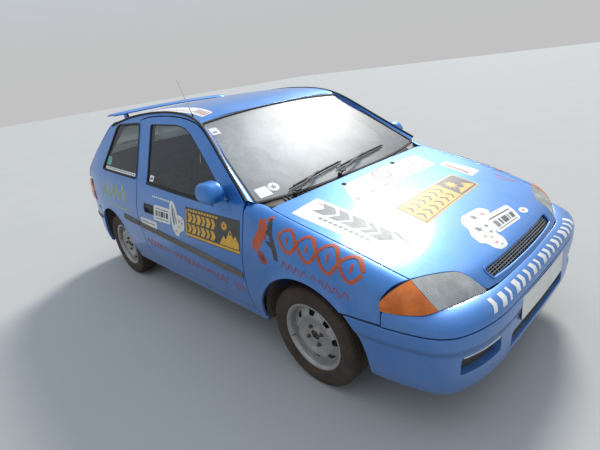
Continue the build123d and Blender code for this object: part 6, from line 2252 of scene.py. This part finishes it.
def build_seats():
    RB = turn_y(-18.4)
    RC = turn_y(-4.2)
    yc = -381.0
    C = Part()
    rbox(C, (-62, yc, 402), (476, 392, 84), 36, R=RC, k=4)
    for s in (-1, 1):
        rbox(C, (-48, yc + s * 178, 416), (420, 66, 96), 30, R=RC, k=4)
    B = Part()
    rbox(B, (-402, yc, 668), (78, 392, 424), 34, R=RB, k=4)
    for s in (-1, 1):
        rbox(B, (-378, yc + s * 178, 640), (104, 64, 350), 30, R=RB, k=4)
    H = Part()
    rbox(H, (-484, yc, 970), (72, 218, 126), 32, R=turn_y(-10), k=4)
    mc, mb, mh = upholster(C, 11, 16), upholster(B, 11, 16), upholster(H, 9, 12)
    for tag, fl in (("right", False), ("left", True)):
        pad_piece("seat_cushion_" + tag, mc, "car_body", ["front_seats"] if not fl else (), fl)
        pad_piece("seat_back_" + tag, mb, "car_body", (), fl)
        pad_piece("headrest_" + tag, mh, "car_body", (), fl)
    S = Part()
    # stitched lines between the centre panels and the bolsters, and across the panels
    up, fw = np.array([0, 0, -1.0]), np.array([-0.95, 0, -0.31])
    lines = []
    for s in (-1, 1):
        lines.append(cast_line(mc, [(x, yc + s * 146, 500) for x in np.linspace(-250, 165, 36)], up))
        lines.append(cast_line(mb, [(-380 - (z - 600) * 0.33, yc + s * 146, z) for z in np.linspace(500, 850, 32)], fw))
    for x in (-130, 0, 120):
        lines.append(cast_line(mc, [(x, y, 500) for y in np.linspace(yc - 144, yc + 144, 26)], up))
    for z in (560, 660, 760):
        lines.append(cast_line(mb, [(-380 - (z - 600) * 0.33, y, z) for y in np.linspace(yc - 144, yc + 144, 26)], fw))
    for ln in lines:
        if len(ln) > 4:
            tube(S, ln, 2.4, 6, 0)
    make("seat_seams", both(S), ["rubber"], "car_body")
    F = Part()
    rbox(F, (-70, yc, 330), (430, 396, 66), 20, 0, RC, 3)
    rbox(F, (-452, yc, 640), (30, 372, 400), 14, 0, RB, 3)
    for s in (-1, 1):
        rbox(F, (-70, yc + s * 172, 282), (470, 34, 26), 5, 1)
        rbox(F, (-330, yc + s * 214, 420), (110, 20, 120), 9, 0, turn_y(-30), 3)
        tube(F, [(-474, yc + s * 52, 850), (-478, yc + s * 52, 900), (-484, yc + s * 52, 950)], 6, 10, 1)
    make("seat_frames", both(F), ["plastic", "silver"], "car_body")
    # rear bench
    R1, R2 = Part(), Part()
    rbox(R1, (-712, 0, 398), (292, 990, 84), 36, R=turn_y(-3), k=4)
    rbox(R2, (-950, 0, 642), (78, 984, 400), 34, R=turn_y(-19.2), k=4)
    m1, m2 = upholster(R1, 14, 16), upholster(R2, 14, 16)
    pad_piece("bench_cushion", m1, "car_body", ["rear_seat"])
    pad_piece("bench_back", m2, "car_body")
    S = Part()
    for y in (-250, 0, 250):
        ln = cast_line(m1, [(x, y, 500) for x in np.linspace(-845, -590, 24)], up)
        if len(ln) > 4:
            tube(S, ln, 2.4, 6, 0)
        ln = cast_line(m2, [(-930 - (z - 600) * 0.35, y, z) for z in np.linspace(470, 820, 30)], fw)
        if len(ln) > 4:
            tube(S, ln, 2.4, 6, 0)
    make("bench_seams", S, ["rubber"], "car_body")


def slats(P, c, w, h, m0, m1, n=5):
    """An air vent: a dark cup with blades, facing the cabin."""
    x, y, z = c
    rbox(P, (x + 6, y, z), (22, w, h), 6, m0, None, 3)
    for i in range(n):
        rbox(P, (x - 6, y, z - h / 2 + (i + 0.5) * h / n), (6, w - 12, 3), 1.2, m1, turn_y(20))
    for i in range(3):
        rbox(P, (x - 5, y + (i - 1) * w / 4, z), (5, 3, h - 10), 1, m1)


def build_cabin():
    P = Part()
    prof = rounded([(672, 430), (672, 852), (560, 868), (438, 848), (402, 802), (413, 706), (520, 646), (596, 430)], [10, 14, 30, 34, 24, 30, 30, 10], 6, 8)
    prof = ccw(resample(prof, 16, True))
    rows = []
    for y in np.linspace(664, -664, 41):
        e = smooth01((abs(y) - 600) / 64.0)
        q = prof.copy()
        q[:, 0] = q[:, 0] + (640 - q[:, 0]) * 0.06 * e
        q[:, 1] = q[:, 1] - 8 * e
        rows.append(np.stack([q[:, 0], np.full(len(q), y), q[:, 1]], 1))
    strip(P, rows, 0, closed=True)
    P.add(rows[0], np.tile([0, 1.0, 0], (len(prof), 1)), [tuple(reversed(range(len(prof))))], 0)
    P.add(rows[-1], np.tile([0, -1.0, 0], (len(prof), 1)), [tuple(range(len(prof)))], 0)
    # instrument hood and dials
    rbox(P, (486, -370, 850), (160, 330, 56), 24, 0, turn_y(4), 5)
    g = flat((404, -370, 836), (0, 1, 0), (0, 0, -1))
    panel(P, g, rounded([(-140, -30), (140, -30), (132, 28), (-132, 28)], 14, 4), rim=2, depth=6, h=50, m=1)
    for y in (-66, 66):
        lathe(P, [(24, 0), (24, 3), (21, 3.4), (21, 1.4), (0, 1.4)], (403, -370 + y, 836), (-1, 0, 0), 36, 2)
        for k in range(9):
            a = math.radians(-40 + k * 32.5)
            rbox(P, (401, -370 + y + 17.5 * math.cos(a), 836 + 17.5 * math.sin(a)), (0.8, 3.4, 0.9), 0.3, 3,
                 np.array([[1, 0, 0], [0, math.cos(a), -math.sin(a)], [0, math.sin(a), math.cos(a)]]))
        rbox(P, (400.6, -370 + y - 6, 836 - 5), (0.8, 20, 1.4), 0.4, 4, np.array([[1, 0, 0], [0, 0.8, -0.6], [0, 0.6, 0.8]]))
    for c, w in (((403, -612, 800), 86), ((403, -52, 800), 92), ((403, 52, 800), 92), ((403, 612, 800), 86)):
        slats(P, c, w, 46, 1, 0)
    # radio slot, heater panel, knobs, glovebox lid
    rbox(P, (408, 0, 742), (16, 184, 46), 4, 1)
    rbox(P, (401, -20, 748), (3, 96, 14), 1, 5)
    for i in range(5):
        rbox(P, (400, -68 + i * 24, 729), (4, 17, 6), 1, 5)
    for s in (-80, 80):
        lathe(P, [(9, 0), (9, 12), (7, 14), (0, 14)], (401, s * 0.95, 742), (-1, 0, 0), 20, 1)
    rbox(P, (432, 0, 682), (16, 190, 52), 4, 1, turn_y(-52))
    for y in (-62, 0, 62):
        lathe(P, [(17, -2), (16, 12), (13, 15), (0, 15)], (425, y, 679), (-0.62, 0, -0.78), 26, 5)
    lid = flat((404.5, 376, 745), (0.0, 1, 0), (0.14, 0, -0.99))
    panel(P, lid, rounded([(-205, -44), (205, -44), (205, 52), (-205, 52)], 12, 4), rim=3, depth=8, h=60, m=0, lift=3)
    rbox(P, (399, 376, 778), (8, 70, 12), 3, 1)
    # centre console, gear lever and parking brake
    rbox(P, (262, 0, 362), (660, 204, 190), 22, 0, None, 4)
    rbox(P, (60, 0, 459), (150, 120, 12), 5, 1, None, 3)
    lathe(P, [(46, 462), (40, 470), (28, 478), (24, 484), (15, 492), (10, 498)], (60, 0, 0), (0, 0, 1), 28, 6)
    tube(P, [(58, 0, 486), (46, 0, 500), (40, 0, 508)], 6, 12, 2)
    lathe(P, [(0.1, -21), (12, -18), (20, -8), (21, 2), (17, 13), (8, 20), (0.1, 21)], (38, 0, 512), (0, 0, 1), 24, 1)
    tube(P, cr([(-20, 62, 452), (-60, 62, 474), (-110, 62, 486)], 5), [9, 11, 12, 12, 13, 13, 13, 13, 13, 12, 11][:len(cr([(-20, 62, 452), (-60, 62, 474), (-110, 62, 486)], 5))], 14, 1)
    # column shroud and stalks
    rbox(P, (372, -370, 772), (150, 120, 84), 26, 0, turn_y(24), 4)
    for s in (-1, 1):
        tube(P, [(316, -370 + s * 50, 796), (302, -370 + s * 92, 806), (296, -370 + s * 150, 814)], [7, 6, 8], 12, 1)
    make("dashboard_and_console", P, ["plastic_grey", "plastic", "silver", "plate_white", "v_orange", "steel_dark", "rubber"], "car_body", ["dashboard"])
    # steering wheel
    W = Part()
    hub = np.array([262.0, -370.0, 822.0])
    ax = np.array([-math.cos(math.radians(24)), 0, math.sin(math.radians(24))])
    e1 = np.array([0, -1.0, 0])
    e2 = np.array([math.sin(math.radians(24)), 0, math.cos(math.radians(24))])
    th = np.linspace(0, 2 * pi, 73)[:-1]
    rad = np.cos(th)[:, None] * e1 + np.sin(th)[:, None] * e2
    sec = [(15 * math.cos(a), 14 * math.sin(a)) for a in np.linspace(0, 2 * pi, 17)[:-1]]
    sweep(W, hub + rad * 181, sec, rad, m=0, closed=True)
    M3 = lambda a: np.stack([math.cos(a) * e1 + math.sin(a) * e2, -math.sin(a) * e1 + math.cos(a) * e2, ax], 1)
    for a in (0.0, pi, -pi / 2):
        rbox(W, hub + M3(a)[:, 0] * 112 - ax * 4, (140, 42, 13), 6, 0, M3(a), 3)
        rbox(W, hub + M3(a)[:, 0] * 108 + ax * 4, (76, 20, 4), 2, 1, M3(a), 2)
    rbox(W, hub + ax * 6 - e2 * 8, (128, 116, 38), 17, 0, M3(0.0), 5)
    rbox(W, hub + ax * 24 - e2 * 8, (84, 74, 8), 4, 1, M3(0.0), 3)
    lathe(W, [(40, -46), (44, -12), (44, 4)], hub, ax, 32, 0)
    make("steering_wheel_rim", W, ["plastic", "plastic_grey"], "steering_wheel_turning", ["steering_wheel"])
    # door cards
    D = Part()
    S = Surf(side.f, -1)
    card = rounded([(646, 332), (648, 520), (660, 640), (694, 780), (704, 852), (300, 866), (0, 872), (-498, 884), (-530, 806), (-580, 672), (-570, 560), (-542, 380), (-510, 332)], 22, 4, 10)
    panel(D, S, card, rim=4, depth=8, h=60, m=0, lift=46)
    ins = rounded([(560, 560), (600, 790), (-440, 806), (-500, 640), (-470, 560)], 40, 5)
    panel(D, S, ins, rim=5, depth=6, h=60, m=1, lift=50)
    rest = [side.p([(x, 610)], -50)[0] + [0, 22, 0] for x in np.linspace(-330, 330, 12)]
    sweep(D, rest, [(-34, -28), (34, -28), (34, 14), (24, 26), (-24, 26), (-34, 14)], np.array([0, 1.0, 0]), m=0)
    o = side.p([(420, 470)], -56)[0]
    lathe(D, [(74, -6), (74, 3), (66, 7), (62, 3), (0, 6)], o, (0, 1, 0), 36, 2)
    o = side.p([(300, 690)], -56)[0]
    lathe(D, [(17, -4), (17, 10), (12, 14), (0, 14)], o, (0, 1, 0), 24, 2)
    tube(D, [o + [0, 12, 0], o + [-40, 18, -30], o + [-78, 20, -58]], [8, 7, 7], 12, 2)
    o = side.p([(170, 770)], -56)[0]
    rbox(D, o + [0, 4, 0], (92, 14, 34), 6, 2, None, 3)
    rbox(D, o + [-8, 12, 0], (52, 6, 16), 3, 3, None, 2)
    make("door_card_right", D, ["plastic", "cloth_flat", "trim", "silver"], "door_leaf_right")
    make("door_card_left", D.mirror(), ["plastic", "cloth_flat", "trim", "silver"], "door_leaf_left")
    # interior mirror and sun visors
    I = Part()
    o, n = ws_s.pn([(0.0, 640.0)], -18)
    rbox(I, o[0] + [-36, 0, -30], (16, 230, 62), 8, 0, turn_y(-8), 4)
    panel(I, flat(o[0] + [-45.5, 0, -30], (0, 1, 0), (0.14, 0, -0.99)), rounded([(-106, -24), (106, -24), (106, 24), (-106, 24)], 16, 4), rim=0.8, depth=1, h=60, m=1)
    tube(I, [o[0] + [-4, 0, 4], o[0] + [-20, 0, -14], o[0] + [-34, 0, -26]], 7, 10, 0)
    for s in (-1, 1):
        v, vn = roof_s.pn([(118.0, s * 330.0)], -40)
        rbox(I, v[0] + [-30, 0, 0], (150, 360, 16), 7, 2, turn_y(14), 3)
    make("cabin_mirror_and_visors", I, ["trim", "mirror_face", "headliner"], "car_body")


# =================================================================== engine bay
def build_bay():
    P = Part()
    rbox(P, (1130, -430, 700), (190, 150, 150), 6, 0, None, 3)
    rbox(P, (1130, -430, 779), (182, 142, 12), 4, 1, None, 3)
    for s in (-1, 1):
        lathe(P, [(9, 0), (8, 14), (0, 14)], (1130 + s * 62, -478, 784), (0, 0, 1), 18, 3)
    tube(P, cr([(1192, -478, 792), (1230, -440, 796), (1270, -360, 770), (1280, -280, 720)], 6), 6, 10, 2)
    tube(P, cr([(1068, -478, 792), (1020, -470, 800), (960, -500, 780), (930, -560, 740)], 6), 6, 10, 4)
    # air filter box, snorkel and hoses
    rbox(P, (1120, 300, 742), (220, 190, 62), 16, 0, None, 4)
    rbox(P, (1120, 300, 778), (206, 176, 16), 8, 1, None, 3)
    tube(P, cr([(1220, 300, 744), (1330, 330, 738), (1420, 400, 726), (1480, 440, 712)], 6), 26, 18, 0)
    tube(P, cr([(1560, 180, 700), (1480, 190, 726), (1380, 160, 720), (1310, 120, 700)], 6), 18, 16, 2)
    rbox(P, (1000, 500, 720), (130, 110, 130), 16, 5, None, 4)
    lathe(P, [(24, 0), (24, 16), (20, 20), (0, 20)], (1000, 500, 786), (0, 0, 1), 24, 0)
    rbox(P, (1420, -560, 640), (120, 70, 150), 14, 5, None, 4)
    lathe(P, [(18, 0), (18, 12), (0, 13)], (1420, -560, 716), (0, 0, 1), 22, 6)
    make("engine_bay_fittings", P, ["plastic", "trim", "rubber", "silver", "v_red", "plate_white", "v_navy"], "car_body")


def build_more():
    build_trim()
    build_motifs()
    build_seats()
    build_cabin()
    build_bay()




# =================================================================== carried-over CAD nodes
for node, name in {"floor_pan": "underbody", "bulkhead": "underbody", "inner_wings": "paint_inner_shaded", "rear_wheelhouses": "underbody",
                   "front_panel": "paint_inner_shaded", "driveshafts": "cast", "engine_block": "cast", "radiator": "steel_dark", "exhaust": "pipe",
                   "fuel_tank": "underbody", "front_subframe": "steel_dark", "rear_suspension": "steel_dark",
                   "front_strut_right": "steel_dark", "front_strut_left": "steel_dark"}.items():
    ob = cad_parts.get(node)
    if ob is not None:
        ob.data.materials.clear()
        ob.data.materials.append(MATS[name])

build_sides()
build_fenders()
build_bonnet()
build_bumper()
build_lamps()
build_top()
build_tail()
build_rear()
build_wheels()
build_more()

# =================================================================== stage, light, camera
me = bpy.data.meshes.new("studio_floor")
verts = [(-40, -40, 0), (40, -40, 0), (40, 40, 0), (-40, 40, 0)]
me.from_pydata(verts, [], [(0, 1, 2, 3)])
me.materials.append(MATS["floor"])
floor = bpy.data.objects.new("studio_floor", me)
bpy.context.scene.collection.objects.link(floor)

world = bpy.data.worlds.new("studio")
bpy.context.scene.world = world
world.use_nodes = True
wn = world.node_tree
wn.nodes.clear()
wo = wn.nodes.new("ShaderNodeOutputWorld")
bg = wn.nodes.new("ShaderNodeBackground")
tcw = wn.nodes.new("ShaderNodeTexCoord")
spw = wn.nodes.new("ShaderNodeSeparateXYZ")
rpw = wn.nodes.new("ShaderNodeValToRGB")
wn.links.new(tcw.outputs["Generated"], spw.inputs[0])
wn.links.new(spw.outputs[2], rpw.inputs["Fac"])
ew = rpw.color_ramp.elements
ew.new(0.5)
ew.new(0.5)
for i_, (p_, c_) in enumerate(((0.0, (0.54, 0.54, 0.538, 1)), (0.10, (0.54, 0.545, 0.55, 1)), (0.42, (0.56, 0.66, 0.80, 1)), (1.0, (0.85, 0.96, 1.10, 1)))):
    ew[i_].position = p_
    ew[i_].color = c_
wn.links.new(rpw.outputs[0], bg.inputs[0])
bg.inputs[1].default_value = 1.0
wn.links.new(bg.outputs[0], wo.inputs[0])


def soft_sun(name, to_light, strength, angle, color):
    d = bpy.data.lights.new(name, "SUN")
    d.energy = strength
    d.angle = math.radians(angle)
    d.color = color
    o = bpy.data.objects.new(name, d)
    o.rotation_mode = "QUATERNION"
    o.rotation_quaternion = (-Vector(to_light)).to_track_quat("-Z", "Y")
    o.location = Vector(to_light) * 6
    bpy.context.scene.collection.objects.link(o)
    return o


soft_sun("key", (-0.25, 0.715, 0.657), 3.2, 14, (1.0, 0.97, 0.92))

cam = bpy.data.cameras.new("camera")
cam.sensor_fit = "HORIZONTAL"
cam.sensor_width = 36.0
cam.lens = 417.349 * 36.0 / 600.0
co = bpy.data.objects.new("camera", cam)
az_, el_, ro_ = (math.radians(v) for v in (48.408, 20.873, -8.211))
bk = np.array([math.sin(az_) * math.cos(el_), -math.cos(az_) * math.cos(el_), math.sin(el_)])
rt_ = np.cross([0, 0, 1], bk)
rt_ /= np.linalg.norm(rt_)
up_ = np.cross(bk, rt_)
r2 = math.cos(ro_) * rt_ + math.sin(ro_) * up_
u2 = -math.sin(ro_) * rt_ + math.cos(ro_) * up_
mw = Matrix.Identity(4)
for i_ in range(3):
    mw[i_][0], mw[i_][1], mw[i_][2] = r2[i_], u2[i_], bk[i_]
mw[0][3], mw[1][3], mw[2][3] = 2.383317, -1.878424, 1.527677
co.matrix_world = mw
bpy.context.scene.collection.objects.link(co)
bpy.context.scene.camera = co
bpy.context.scene.view_settings.view_transform = "Standard"
